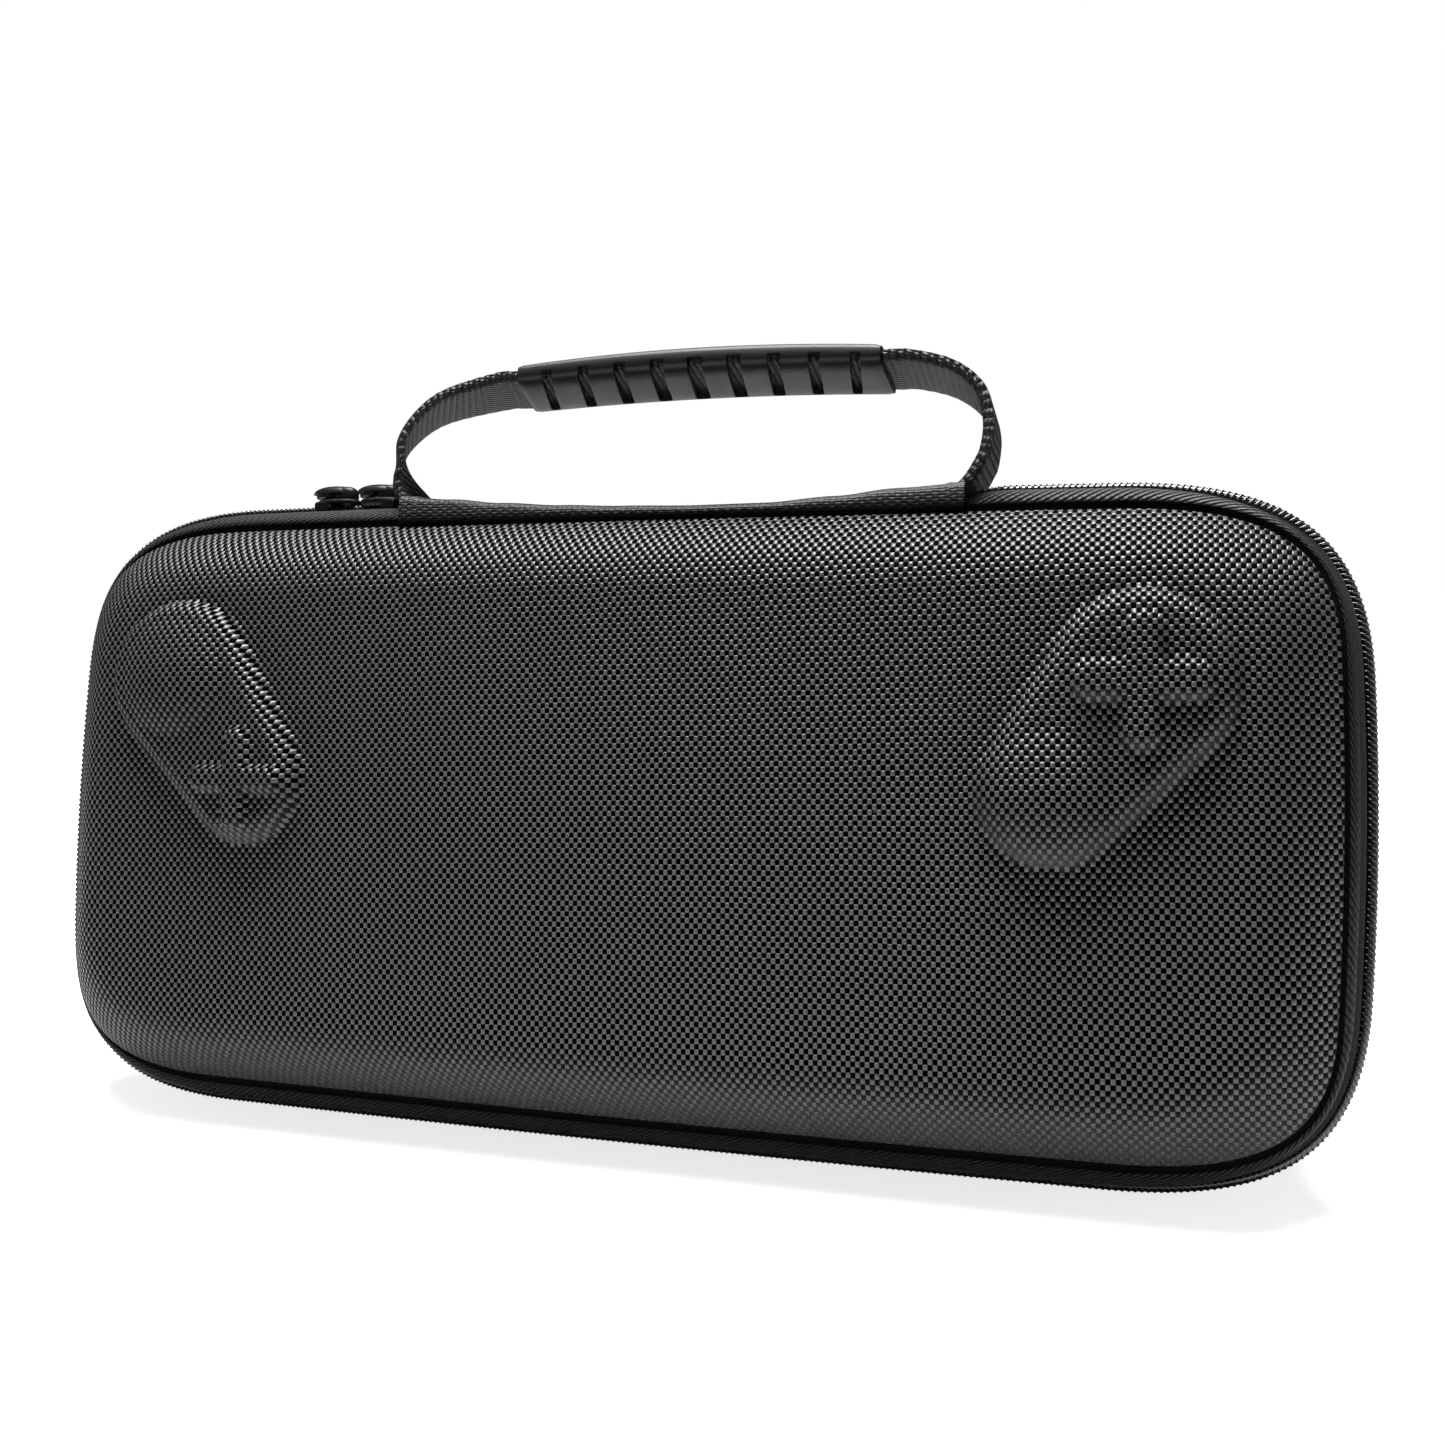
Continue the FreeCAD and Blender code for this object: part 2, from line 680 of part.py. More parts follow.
def make_mesh():
    return lid_slice(-mesh_depth, -mesh_depth + mesh_thick, 0.0, mesh_top)


def make_mesh_binding():
    grow = 0.8
    band = lid_slice(-mesh_depth - grow, -mesh_depth + mesh_thick + grow, mesh_top - mesh_binding, mesh_top + 0.8)
    return band.cut(block(-FAR, FAR, -mesh_depth, -mesh_depth + mesh_thick, 0.0, mesh_top))


# Resting place: the chain's flat ends at chain_foot, and the base's rounded edge touches the ground
chain_foot = chain_half - chain_round
corner_y = base_depth - base_corner
corner_z = crease_inset + base_draft + base_corner
lean = math.degrees(math.atan2(corner_z, corner_y - chain_foot)
                    - math.asin(base_corner / math.hypot(corner_z, corner_y - chain_foot)))
lean_cos = math.cos(math.radians(lean))
lean_sin = math.sin(math.radians(lean))
back_reach = corner_y * lean_cos + (case_height - corner_z) * lean_sin + base_corner
front_reach = min(-y * lean_cos + inset * lean_sin for y, inset in lid_stations)
origin_y = -(front_reach + back_reach) / 2
origin_z = chain_foot * lean_sin


def save(name, shape):
    """Leans the solid into its resting place and writes it."""
    shape = shape.copy()
    shape.rotate(vec(0, 0, 0), vec(1, 0, 0), -lean)
    shape.translate(vec(0, origin_y, origin_z))
    if len(shape.Solids) == 1:
        shape = shape.Solids[0]
    box = shape.BoundBox
    print(name, "valid" if shape.isValid() else "INVALID", "solids", len(shape.Solids),
          "volume", round(shape.Volume), "faces", len(shape.Faces),
          "y", round(box.YMin, 2), round(box.YMax, 2), "z", round(box.ZMin, 2), round(box.ZMax, 2))
    shape.exportStep("parts/" + name + ".step")


def main():
    os.makedirs("parts", exist_ok=True)
    save("front_shell", make_front_shell())
    save("rear_shell", make_rear_shell())
    save("front_zipper_tape", make_tape(-1))
    save("rear_zipper_tape", make_tape(1))
    save("front_zipper_coil", make_coil(-1))
    save("rear_zipper_coil", make_coil(1))
    save("front_rim_binding", make_binding(-1))
    save("rear_rim_binding", make_binding(1))
    save("hinge_strip", make_hinge_strip())
    save("handle_webbing", make_webbing())
    save("handle_grip", make_grip())
    save("left_slider", make_slider(slider_a_x))
    save("right_slider", make_slider(slider_b_x))
    save("left_pull", make_pull(slider_a_x))
    save("right_pull", make_pull(slider_b_x))
    save("console_cradle", make_cradle())
    save("upper_strap", make_strap(True))
    save("lower_strap", make_strap(False))
    save("hook_patch", make_patch(True))
    save("loop_patch", make_patch(False))
    save("pocket_mesh", make_mesh())
    save("pocket_binding", make_mesh_binding())
    print("lean", lean, "origin_y", origin_y, "origin_z", origin_z, "root_z", root_z)


main()
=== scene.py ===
import math

import bmesh
import bpy
from mathutils import Matrix, Vector


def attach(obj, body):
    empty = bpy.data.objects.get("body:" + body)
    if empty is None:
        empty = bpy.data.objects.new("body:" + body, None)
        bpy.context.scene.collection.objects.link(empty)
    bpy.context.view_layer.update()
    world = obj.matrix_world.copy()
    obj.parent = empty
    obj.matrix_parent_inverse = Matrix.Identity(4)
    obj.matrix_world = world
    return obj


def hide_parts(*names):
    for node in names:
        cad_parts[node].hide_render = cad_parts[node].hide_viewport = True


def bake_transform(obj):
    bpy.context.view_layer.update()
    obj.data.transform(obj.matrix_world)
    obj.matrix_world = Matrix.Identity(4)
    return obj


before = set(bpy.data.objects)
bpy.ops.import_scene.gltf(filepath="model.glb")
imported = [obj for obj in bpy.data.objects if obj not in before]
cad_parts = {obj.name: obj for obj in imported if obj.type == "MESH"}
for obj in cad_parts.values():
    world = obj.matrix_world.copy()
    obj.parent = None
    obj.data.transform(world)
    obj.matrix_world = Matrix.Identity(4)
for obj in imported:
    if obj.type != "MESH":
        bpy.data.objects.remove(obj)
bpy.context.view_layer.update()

MM = 0.001

# Sizes shared with the part's source, in millimetres, for the case upright about its seam plane
HALF_WIDTH = 165.0
MID_Z = 78.75
CASE_HEIGHT = 157.5
CHAIN_REACH = (55.6, 46.8)
CREASE_REACH = (46.5, 32.7)
CREASE = 6.12
FULLNESS = 0.70
LONG_BOW = 0.58
END_BOW = 0.85
REACH_LOSS = (0.66, 0.36)
SIDE_SHARE = 0.925
WALL = 4.2
RIM = CREASE + WALL
BASE_DEPTH = 48.0
BASE_DRAFT = 0.75
BASE_CORNER = 6.0
STRIP = (-65.25, 77.25)
ROOT_Z = 158.0
CHAIN_FOOT = 2.3
CHAIN_PAST = 1.6

# Resting place: leaned back until the base's lower edge meets the floor
CORNER_Y = BASE_DEPTH - BASE_CORNER
CORNER_Z = CREASE + BASE_DRAFT + BASE_CORNER
LEAN_ANGLE = (math.atan2(CORNER_Z, CORNER_Y - CHAIN_FOOT)
              - math.asin(BASE_CORNER / math.hypot(CORNER_Z, CORNER_Y - CHAIN_FOOT)))
ORIGIN_Y = -26.39
ORIGIN_Z = CHAIN_FOOT * math.sin(LEAN_ANGLE)
LEAN = Matrix.Translation((0, ORIGIN_Y * MM, ORIGIN_Z * MM)) @ Matrix.Rotation(-LEAN_ANGLE, 4, "X")


# Outline and meshes

def reach(inset):
    """How far a corner reaches along X and Z at this inset."""
    if inset <= CREASE:
        share = inset / CREASE
        return tuple(a + share * (b - a) for a, b in zip(CHAIN_REACH, CREASE_REACH))
    return tuple(b - loss * (inset - CREASE) for b, loss in zip(CREASE_REACH, REACH_LOSS))


def bezier(p, t):
    a, b, c, d = (1 - t) ** 3, 3 * t * (1 - t) ** 2, 3 * t * t * (1 - t), t ** 3
    return tuple(a * p[0][i] + b * p[1][i] + c * p[2][i] + d * p[3][i] for i in (0, 1))


def quarter(inset, pinch=0.0):
    """Half width, half height, reach and corner poles of the outline at this inset."""
    w = HALF_WIDTH - inset + (1 - SIDE_SHARE) * max(0.0, inset - CREASE)
    w -= pinch
    h = MID_Z - inset
    rx, rz = reach(inset)
    long_slope = 2 * LONG_BOW / (w - rx)
    end_slope = 2 * END_BOW / (h - rz)
    start = (w - rx, h - LONG_BOW)
    end = (w - END_BOW, h - rz)
    hx = FULLNESS * (rx - END_BOW)
    hz = FULLNESS * (rz - LONG_BOW)
    poles = [start, (start[0] + hx, start[1] - hx * long_slope),
             (end[0] - hz * end_slope, end[1] + hz), end]
    return w, h, rx, rz, poles


class Spread:
    """How many points each stretch of the outline gets, and where they lie on it."""

    def __init__(self, corner, long_stops, end_stops):
        self.corner = [i / corner for i in range(corner + 1)]
        self.long = long_stops
        self.end = end_stops

    def ring(self, inset, pinch=0.0):
        """Points (x, z) from the middle of the upper left corner clockwise to its start again."""
        w, h, rx, rz, poles = quarter(inset, pinch)
        corner = [bezier(poles, t) for t in self.corner]
        top = [(u * (w - rx), h - LONG_BOW * u * u) for u in self.long]
        side = [(w - END_BOW * v * v, v * (h - rz)) for v in self.end]
        half = len(corner) // 2
        points = [(-x, z) for x, z in corner[:half + 1][::-1]]
        points += top[1:-1]
        points += corner
        points += [(x, z) for x, z in side[::-1][1:-1]]
        points += [(x, -z) for x, z in corner[::-1]]
        points += [(x, -z) for x, z in top[::-1][1:-1]]
        points += [(-x, -z) for x, z in corner]
        points += [(-x, z) for x, z in side[1:-1]]
        points += [(-x, z) for x, z in corner[::-1][:half]]
        return points

    def sides(self):
        """Numbers of steps along the top and along one end, corner middle to corner middle."""
        corner = len(self.corner) - 1
        return corner + len(self.long) - 1, corner + len(self.end) - 1


def even(count):
    return [-1 + 2 * i / count for i in range(count + 1)]


def crowded(count, fine_from, fine_count):
    """Stops from -1 to 1, closer together outside fine_from."""
    middle = [-fine_from + 2 * fine_from * i / count for i in range(count + 1)]
    outer = [fine_from + (1 - fine_from) * i / fine_count for i in range(1, fine_count + 1)]
    return [-u for u in outer[::-1]] + middle + outer


PLAIN = Spread(24, even(64), even(24))
FINE = Spread(56, crowded(52, 0.72, 27), even(54))


def signed_power(value, power):
    return math.copysign(abs(value) ** power, value)


def smoothstep(t):
    t = min(1.0, max(0.0, t))
    return t * t * (3 - 2 * t)


def table_at(table, x, ease=None):
    """Value at x in a table of (x, value), held beyond its ends."""
    if x <= table[0][0]:
        return table[0][1]
    for (x0, v0), (x1, v1) in zip(table, table[1:]):
        if x <= x1:
            t = (x - x0) / (x1 - x0)
            return v0 + (v1 - v0) * (ease(t) if ease else t)
    return table[-1][1]


def square_to(line, i):
    """Unit vector square to a 2-D line at its point i."""
    a, b = line[max(0, i - 1)], line[min(len(line) - 1, i + 1)]
    size = math.dist(a, b)
    return (a[1] - b[1]) / size, (b[0] - a[0]) / size


def beside(line, distance):
    """The line that runs at this distance from a 2-D line."""
    pairs = [(p, square_to(line, i)) for i, p in enumerate(line)]
    return [(p[0] + distance * n[0], p[1] + distance * n[1]) for p, n in pairs]


def running(points):
    """Running length along a line of points."""
    lengths = [0.0]
    for a, b in zip(points, points[1:]):
        lengths.append(lengths[-1] + math.dist(a, b))
    return lengths


def spline(points, count):
    """Evenly spaced points on a smooth curve through these 2-D points."""
    dense = []
    ends = [points[0]] + list(points) + [points[-1]]
    for i in range(1, len(ends) - 2):
        p0, p1, p2, p3 = ends[i - 1:i + 3]
        for k in range(24):
            t = k / 24
            dense.append(tuple(
                0.5 * (2 * b + (c - a) * t + (2 * a - 5 * b + 4 * c - d) * t * t
                       + (3 * b - a - 3 * c + d) * t ** 3)
                for a, b, c, d in zip(p0, p1, p2, p3)))
    dense.append(tuple(points[-1]))
    lengths = running(dense)
    result = []
    j = 0
    for i in range(count + 1):
        goal = lengths[-1] * i / count
        while j < len(dense) - 2 and lengths[j + 1] < goal:
            j += 1
        span = lengths[j + 1] - lengths[j] or 1.0
        t = (goal - lengths[j]) / span
        result.append(tuple(a + t * (b - a) for a, b in zip(dense[j], dense[j + 1])))
    return result


# Height of the hinge strip's front shoulder along X: high over the webbing, low between
CREST = ((-65.25, 157.7), (-52.0, 156.7), (-38.0, 155.4), (-22.0, 154.4), (-6.0, 153.8), (12.0, 153.4),
         (30.0, 153.5), (47.0, 154.6), (62.0, 156.0), (77.25, 156.7), (86.0, 157.8))
SEWN_LEVEL = 150.6
WELT_TOP = 156.6
STRIP_THICK = 0.9
STRIP_AIR = 0.3


def crest(x):
    """Height of the strip's front shoulder at x, smooth between the named heights."""
    return table_at(CREST, x, smoothstep)


def tuck(x, z):
    """Flattens the tape and flanges where the hinge strip is sewn over them."""
    if z <= SEWN_LEVEL or not CREST[0][0] < x < CREST[-1][0]:
        return z
    room = min(1.0, (crest(x) - STRIP_THICK - STRIP_AIR - SEWN_LEVEL) / (WELT_TOP - SEWN_LEVEL))
    return SEWN_LEVEL + (z - SEWN_LEVEL) * room


def at(x, depth, z, side):
    """A point in metres: x and z from the outline's centre, depth from the seam."""
    return Vector((x, side * depth, tuck(x, MID_Z + z))) * MM


def shade(mesh, angle):
    """Smooth shading but for edges sharper than this angle."""
    for f in mesh.polygons:
        f.use_smooth = True
    mesh.set_sharp_from_angle(angle=math.radians(angle))


def link(name, bm, material, smooth_angle=35.0, place=LEAN):
    """A new object from a bmesh, smooth but for its real edges and leaned into place."""
    bmesh.ops.recalc_face_normals(bm, faces=bm.faces)
    mesh = bpy.data.meshes.new(name)
    bm.to_mesh(mesh)
    bm.free()
    mesh.transform(place)
    shade(mesh, smooth_angle)
    obj = bpy.data.objects.new(name, mesh)
    bpy.context.scene.collection.objects.link(obj)
    for m in material if isinstance(material, (list, tuple)) else [material]:
        mesh.materials.append(m)
    return obj


def stand_in(obj, node, body):
    """Shows obj in place of a frame node, on its body."""
    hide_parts(node)
    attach(obj, body)
    return obj


def circle(bm, count, point_at):
    """A ring of vertices, each at point_at(angle)."""
    return [bm.verts.new(point_at(2 * math.pi * k / count)) for k in range(count)]


def loft(bm, rings, uv=None, uv_at=None):
    """Quads between closed rings; uv_at(vertex, step, row) gives a corner's place on the cloth."""
    count = len(rings[0])
    for i, (a, b) in enumerate(zip(rings, rings[1:])):
        for k in range(count):
            m = (k + 1) % count
            face = bm.faces.new((a[k], a[m], b[m], b[k]))
            if uv_at:
                corners = ((k, i), (k + 1, i), (k + 1, i + 1), (k, i + 1))
                for loop, (step, row) in zip(face.loops, corners):
                    loop[uv].uv = uv_at(loop.vert, step, row)


def cap(bm, rings):
    """Closes both ends of a loft."""
    bm.faces.new(rings[0])
    bm.faces.new(rings[-1][::-1])


def planar_uv(uv, faces):
    """Weave that runs straight through the front, as cloth pressed over a form does."""
    for face in faces:
        for loop in face.loops:
            loop[uv].uv = (loop.vert.co.x, loop.vert.co.z)


def fill_grid(bm, uv, grid, material_index=0):
    """Quads over a grid of vertices."""
    for a, b in zip(grid, grid[1:]):
        for j in range(len(a) - 1):
            face = bm.faces.new((a[j], b[j], b[j + 1], a[j + 1]))
            face.material_index = material_index
            planar_uv(uv, [face])


# How far the lid's ends are pinched in beside the chain: depth and distance
PINCH = ((2.4, 0.0), (3.2, 2.5), (5.2, 2.5), (6.6, 1.3), (9.0, 0.2), (14.5, 0.8), (19.2, 1.5), (23.5, 2.2))


def ring_band(bm, uv, spread, profile, side, closed, slots=None, pinched=False):
    """Quads between outlines given as (depth, inset); returns the rings of vertices."""
    rings = []
    lengths = running(profile + profile[:1])
    for depth, inset in profile:
        held = table_at(PINCH, depth) if pinched else 0.0
        rings.append([bm.verts.new(at(x, depth, z, side)) for x, z in spread.ring(inset, held)])
    count = len(rings[0])
    around = [0.0]
    base = rings[len(rings) // 2]
    for i in range(count):
        around.append(around[-1] + (base[(i + 1) % count].co - base[i].co).length)
    for k in range(len(rings) if closed else len(rings) - 1):
        a, b = rings[k], rings[(k + 1) % len(rings)]
        for i in range(count):
            j = (i + 1) % count
            face = bm.faces.new((a[i], a[j], b[j], b[i]))
            stops = ((i, k), (i + 1, k), (i + 1, k + 1), (i, k + 1))
            for loop, (n, m) in zip(face.loops, stops):
                loop[uv].uv = (around[n], lengths[m] * MM)
            if slots:
                face.material_index = slots[k]
    return rings


def fill_face(bm, uv, spread, ring, raise_by, material_index=0):
    """Fills a ring with a grid of quads, each vertex moved along Y by raise_by(x, z)."""
    across, down = spread.sides()
    top = ring[0:across + 1]
    right = ring[across:across + down + 1]
    bottom = ring[across + down:2 * across + down + 1][::-1]
    left = [ring[0]] + ring[2 * across + down:][::-1]
    grid = [[None] * (down + 1) for _ in range(across + 1)]
    for i in range(across + 1):
        grid[i][0], grid[i][down] = top[i], bottom[i]
    for j in range(down + 1):
        grid[0][j], grid[across][j] = left[j], right[j]
    c00, c10, c01, c11 = top[0].co, top[-1].co, bottom[0].co, bottom[-1].co
    for i in range(1, across):
        s = share_of(top, i)
        for j in range(1, down):
            t = share_of(left, j)
            p = (top[i].co * (1 - t) + bottom[i].co * t + left[j].co * (1 - s) + right[j].co * s
                 - (c00 * (1 - s) * (1 - t) + c10 * s * (1 - t) + c01 * (1 - s) * t + c11 * s * t))
            p = p + Vector((0, raise_by(p.x / MM, p.z / MM) * MM, 0))
            grid[i][j] = bm.verts.new(p)
    fill_grid(bm, uv, grid, material_index)


def share_of(line, i):
    """Where vertex i lies along a side, from 0 to 1, by its x or z."""
    a, b, p = line[0].co, line[-1].co, line[i].co
    d = b - a
    return (p - a).dot(d) / d.length_squared


# Materials

def group(name, numbers, outputs):
    """A group given a Vector and these numbers: its node helper, what it is given and its results."""
    tree = bpy.data.node_groups.new(name, "ShaderNodeTree")
    tree.interface.new_socket("Vector", in_out="INPUT", socket_type="NodeSocketVector")
    for label, value in numbers.items():
        socket = tree.interface.new_socket(label, in_out="INPUT", socket_type="NodeSocketFloat")
        socket.default_value = value
    for label in outputs:
        tree.interface.new_socket(label, in_out="OUTPUT", socket_type="NodeSocketFloat")
    return Nodes(tree), tree.nodes.new("NodeGroupInput").outputs, tree.nodes.new("NodeGroupOutput").inputs


class Nodes:
    """Short ways to add nodes to one tree."""

    def __init__(self, tree):
        self.tree = tree

    def new(self, kind):
        return self.tree.nodes.new("ShaderNode" + kind)

    def math(self, operation, a, b=None):
        node = self.new("Math")
        node.operation = operation
        for socket, value in zip(node.inputs, (a, b)):
            self.feed(socket, value)
        return node.outputs[0]

    def plus(self, a, b):
        return self.math("ADD", a, b)

    def minus(self, a, b):
        return self.math("SUBTRACT", a, b)

    def times(self, a, b):
        return self.math("MULTIPLY", a, b)

    def over(self, a, b):
        return self.math("DIVIDE", a, b)

    def arch(self, share):
        """Half a sine wave as share goes from 0 to 1."""
        return self.math("SINE", self.times(share, math.pi))

    def feed(self, socket, value):
        if value is None:
            return
        if isinstance(value, bpy.types.NodeSocket):
            self.tree.links.new(value, socket)
        else:
            socket.default_value = value

    def vector(self, operation, a, b=None):
        node = self.new("VectorMath")
        node.operation = operation
        self.feed(node.inputs[0], a)
        self.feed(node.inputs[1], b)
        return node.outputs

    def split(self, vector):
        node = self.new("SeparateXYZ")
        self.feed(node.inputs[0], vector)
        return node.outputs

    def noise(self, vector, scale, detail=2.0, roughness=0.5):
        node = self.new("TexNoise")
        self.feed(node.inputs["Vector"], vector)
        self.feed(node.inputs["Scale"], scale)
        node.inputs["Detail"].default_value = detail
        node.inputs["Roughness"].default_value = roughness
        return node.outputs["Fac"]

    def span(self, value, low, high, out_low=0.0, out_high=1.0, smooth=False):
        node = self.new("MapRange")
        node.interpolation_type = "SMOOTHSTEP" if smooth else "LINEAR"
        for socket, number in zip(node.inputs, (value, low, high, out_low, out_high)):
            self.feed(socket, number)
        return node.outputs[0]

    def mix(self, share, a, b):
        node = self.new("Mix")
        node.data_type = "RGBA"
        self.feed(node.inputs["Factor"], share)
        self.feed(node.inputs["A"], a)
        self.feed(node.inputs["B"], b)
        return node.outputs["Result"]

    def feed_all(self, node, values):
        for label, value in values.items():
            self.feed(node.inputs[label.replace("_", " ")], value)

    def use(self, tree, **values):
        node = self.new("Group")
        node.node_tree = tree
        self.feed_all(node, values)
        return node.outputs

    def paint(self, **values):
        """Feeds the material's Principled shader."""
        self.feed_all(self.tree.nodes["Principled BSDF"], values)

    def bump(self, height, distance):
        node = self.new("Bump")
        self.feed(node.inputs["Height"], height)
        node.inputs["Distance"].default_value = distance
        node.inputs["Strength"].default_value = 1.0
        return node.outputs[0]

    def position(self):
        return self.new("TexCoord").outputs["Object"]

    def facing_up(self):
        """The surface's own normal along Z."""
        return self.split(self.new("NewGeometry").outputs["Normal"])[2]

    def cloth_uv(self):
        node = self.new("UVMap")
        node.uv_map = "cloth"
        return node.outputs[0]


def make_plain_weave():
    """Plain weave over metre-sized cloth coordinates: raised warp squares beside sunken weft ones."""
    n, given, result = group(
        "plain_weave", {"Warp Pitch": 0.001045, "Weft Pitch": 0.001205, "Turn": 0.037, "Waver": 0.5},
        ("Height", "Pit", "Thread"))
    u, v, _ = n.split(given["Vector"])
    turned_u = n.plus(u, n.times(v, given["Turn"]))
    turned_v = n.minus(v, n.times(u, given["Turn"]))
    drift = n.times(n.minus(n.noise(given["Vector"], 60.0, 1.0), 0.5), given["Waver"])
    u = n.plus(n.over(turned_u, given["Warp Pitch"]), drift)
    v = n.minus(n.over(turned_v, given["Weft Pitch"]), drift)
    fu, fv = n.math("FRACT", u), n.math("FRACT", v)
    parity = n.math("FRACT", n.times(n.plus(n.math("FLOOR", u), n.math("FLOOR", v)), 0.5))
    warp = n.math("GREATER_THAN", parity, 0.25)
    a, b = n.arch(fu), n.arch(fv)
    pillow = n.math("POWER", n.times(a, b), 0.45)
    raised = n.plus(n.times(pillow, 0.62), 0.38)
    sunken = n.times(n.math("POWER", b, 0.5), 0.3)
    height = n.plus(n.times(warp, raised), n.times(n.minus(1.0, warp), sunken))
    stretched = n.vector("MULTIPLY", given["Vector"], (5200.0, 1400.0, 1.0))[0]
    thread = n.noise(stretched, 1.0, 2.0, 0.6)
    n.feed(result["Height"], height)
    # Pit marks the sunken cells, where the materials paint shade.
    n.feed(result["Pit"], n.span(height, 0.30, 0.60, 1.0, 0.0, smooth=True))
    n.feed(result["Thread"], thread)
    return n.tree


def make_ribs():
    """Ribs across a band: V runs along it, U across; threads slant on each rib."""
    n, given, result = group("ribbed_band", {"Pitch": 0.0019, "Thread": 0.0012}, ("Height",))
    u, v, _ = n.split(given["Vector"])
    rib = n.math("FRACT", n.over(v, given["Pitch"]))
    rib_height = n.arch(rib)
    row = n.math("FLOOR", n.over(v, given["Pitch"]))
    shifted = n.plus(n.over(u, given["Thread"]), n.times(row, 0.5))
    slanted = n.plus(shifted, n.times(rib, 0.45))
    thread = n.arch(n.math("FRACT", slanted))
    height = n.times(n.math("POWER", rib_height, 0.7), n.plus(n.times(thread, 0.4), 0.6))
    n.feed(result["Height"], height)
    return n.tree


def make_twill():
    """Fine slanting ribs of a twill tape."""
    n, given, result = group("fine_twill", {"Pitch": 0.0020}, ("Height",))
    u, v, _ = n.split(given["Vector"])
    line = n.over(n.plus(u, n.times(v, 2.0)), given["Pitch"])
    ridge = n.arch(n.math("FRACT", line))
    cut = n.over(n.minus(u, n.times(v, 0.6)), given["Pitch"])
    thread = n.arch(n.math("FRACT", cut))
    n.feed(result["Height"], n.times(ridge, n.plus(n.times(thread, 0.3), 0.7)))
    return n.tree


def make_dust():
    """Sparse pale specks of lint, and broad soft differences in tone."""
    n, given, result = group("lint_and_tone", {"Amount": 0.5}, ("Speck", "Tone"))
    cells = n.new("TexVoronoi")
    cells.inputs["Scale"].default_value = 130.0
    n.feed(cells.inputs["Vector"], given["Vector"])
    near = n.span(cells.outputs["Distance"], 0.02, 0.07, 1.0, 0.0)
    chosen = n.math("GREATER_THAN", n.split(cells.outputs["Color"])[0], 0.93)
    speck = n.times(n.times(near, chosen), given["Amount"])
    n.feed(result["Speck"], speck)
    n.feed(result["Tone"], n.span(n.noise(given["Vector"], 22.0, 4.0), 0.3, 0.7))
    return n.tree


PLAIN_WEAVE = make_plain_weave()
RIBS = make_ribs()
TWILL = make_twill()
DUST = make_dust()


def material(name, roughness, sheen=0.0, sheen_roughness=0.4, specular=0.5):
    """A material and its node helper."""
    m = bpy.data.materials.new(name)
    m.use_nodes = True
    n = Nodes(m.node_tree)
    n.paint(Roughness=roughness, Specular_IOR_Level=specular,
            Sheen_Weight=sheen, Sheen_Roughness=sheen_roughness)
    return m, n


def color(value, tint=(1.0, 1.0, 1.02)):
    return (value * tint[0], value * tint[1], value * tint[2], 1.0)


def make_ballistic(name, level):
    """Charcoal weave of flat yarns: pale warp squares, near-black painted shade in the sunken pits (weaker on
    faces turned down), fine filaments, a little lint.
    """
    m, n = material(name, 0.4, specular=0.6)
    cloth = n.use(PLAIN_WEAVE, Vector=n.cloth_uv())
    dust = n.use(DUST, Vector=n.position(), Amount=0.3)
    yarn = n.mix(cloth["Thread"], color(level * 0.72), color(level * 1.35))
    toned = n.mix(n.times(dust["Tone"], 0.3), yarn, color(level * 1.25))
    # Painted shade: the sunken pits between the yarns are coloured near-black, less so on faces turned
    # downwards, where light from below reaches them.
    painted_pit_shade = n.times(cloth["Pit"], n.span(n.facing_up(), -0.65, 0.1, 0.4, 1.0))
    dark = n.mix(painted_pit_shade, toned, color(level * 0.015))
    n.paint(Base_Color=n.mix(dust["Speck"], dark, color(0.35)))
    # Metallic in the pits takes their gloss away too, so the painted shade stays dark.
    n.paint(Metallic=painted_pit_shade)
    n.paint(Roughness=n.span(cloth["Height"], 0.3, 0.7, 1.0, 0.36))
    n.paint(Normal=n.bump(cloth["Height"], 0.0005))
    return m


def make_gusset_cloth():
    """Finer, darker weave of the hinge strip, with painted shade in its pits and painted shade darkest along
    its sewn front edge, where the strip curls under.
    """
    m, n = material("gusset_weave", 0.42, specular=0.35)
    cloth = n.use(PLAIN_WEAVE, Vector=n.cloth_uv(), Warp_Pitch=0.0014, Weft_Pitch=0.00075, Turn=0.0, Waver=0.7)
    yarn = n.mix(cloth["Thread"], color(0.008), color(0.045))
    # Painted shade: the pits between the yarns are near-black.
    woven = n.mix(cloth["Pit"], yarn, color(0.002))
    # Painted shade: the strip is darkened over the first few millimetres from its sewn front edge, and
    # Metallic takes its gloss away there, where it curls under in shade.
    shaded = n.span(n.split(n.cloth_uv())[1], 0.0012, 0.0034, 0.9, 0.0)
    n.paint(Base_Color=n.mix(shaded, woven, color(0.001)))
    n.paint(Metallic=shaded)
    n.paint(Normal=n.bump(cloth["Height"], 0.0002))
    return m


def make_twill_cloth():
    m, n = material("black_twill", 0.5, sheen=0.03, specular=0.35)
    cloth = n.use(TWILL, Vector=n.cloth_uv())
    n.paint(Base_Color=n.mix(cloth["Height"], color(0.001), color(0.042)))
    n.paint(Normal=n.bump(cloth["Height"], 0.0005))
    return m


def make_webbing_cloth():
    m, n = material("ribbed_webbing", 0.5, sheen=0.03, specular=0.35)
    cloth = n.use(RIBS, Vector=n.cloth_uv())
    dust = n.use(DUST, Vector=n.position(), Amount=0.5)
    base = n.mix(cloth["Height"], color(0.001), color(0.010))
    n.paint(Base_Color=n.mix(dust["Speck"], base, color(0.3)))
    n.paint(Normal=n.bump(cloth["Height"], 0.0006))
    return m


def make_nylon():
    m, n = material("black_nylon_coil", 0.32, specular=1.0)
    n.paint(Coat_Weight=0.8, Coat_Roughness=0.2)
    tone = n.noise(n.position(), 900.0, 2.0)
    n.paint(Base_Color=n.mix(tone, color(0.002), color(0.007)))
    n.paint(Roughness=n.span(tone, 0.0, 1.0, 0.2, 0.34))
    return m


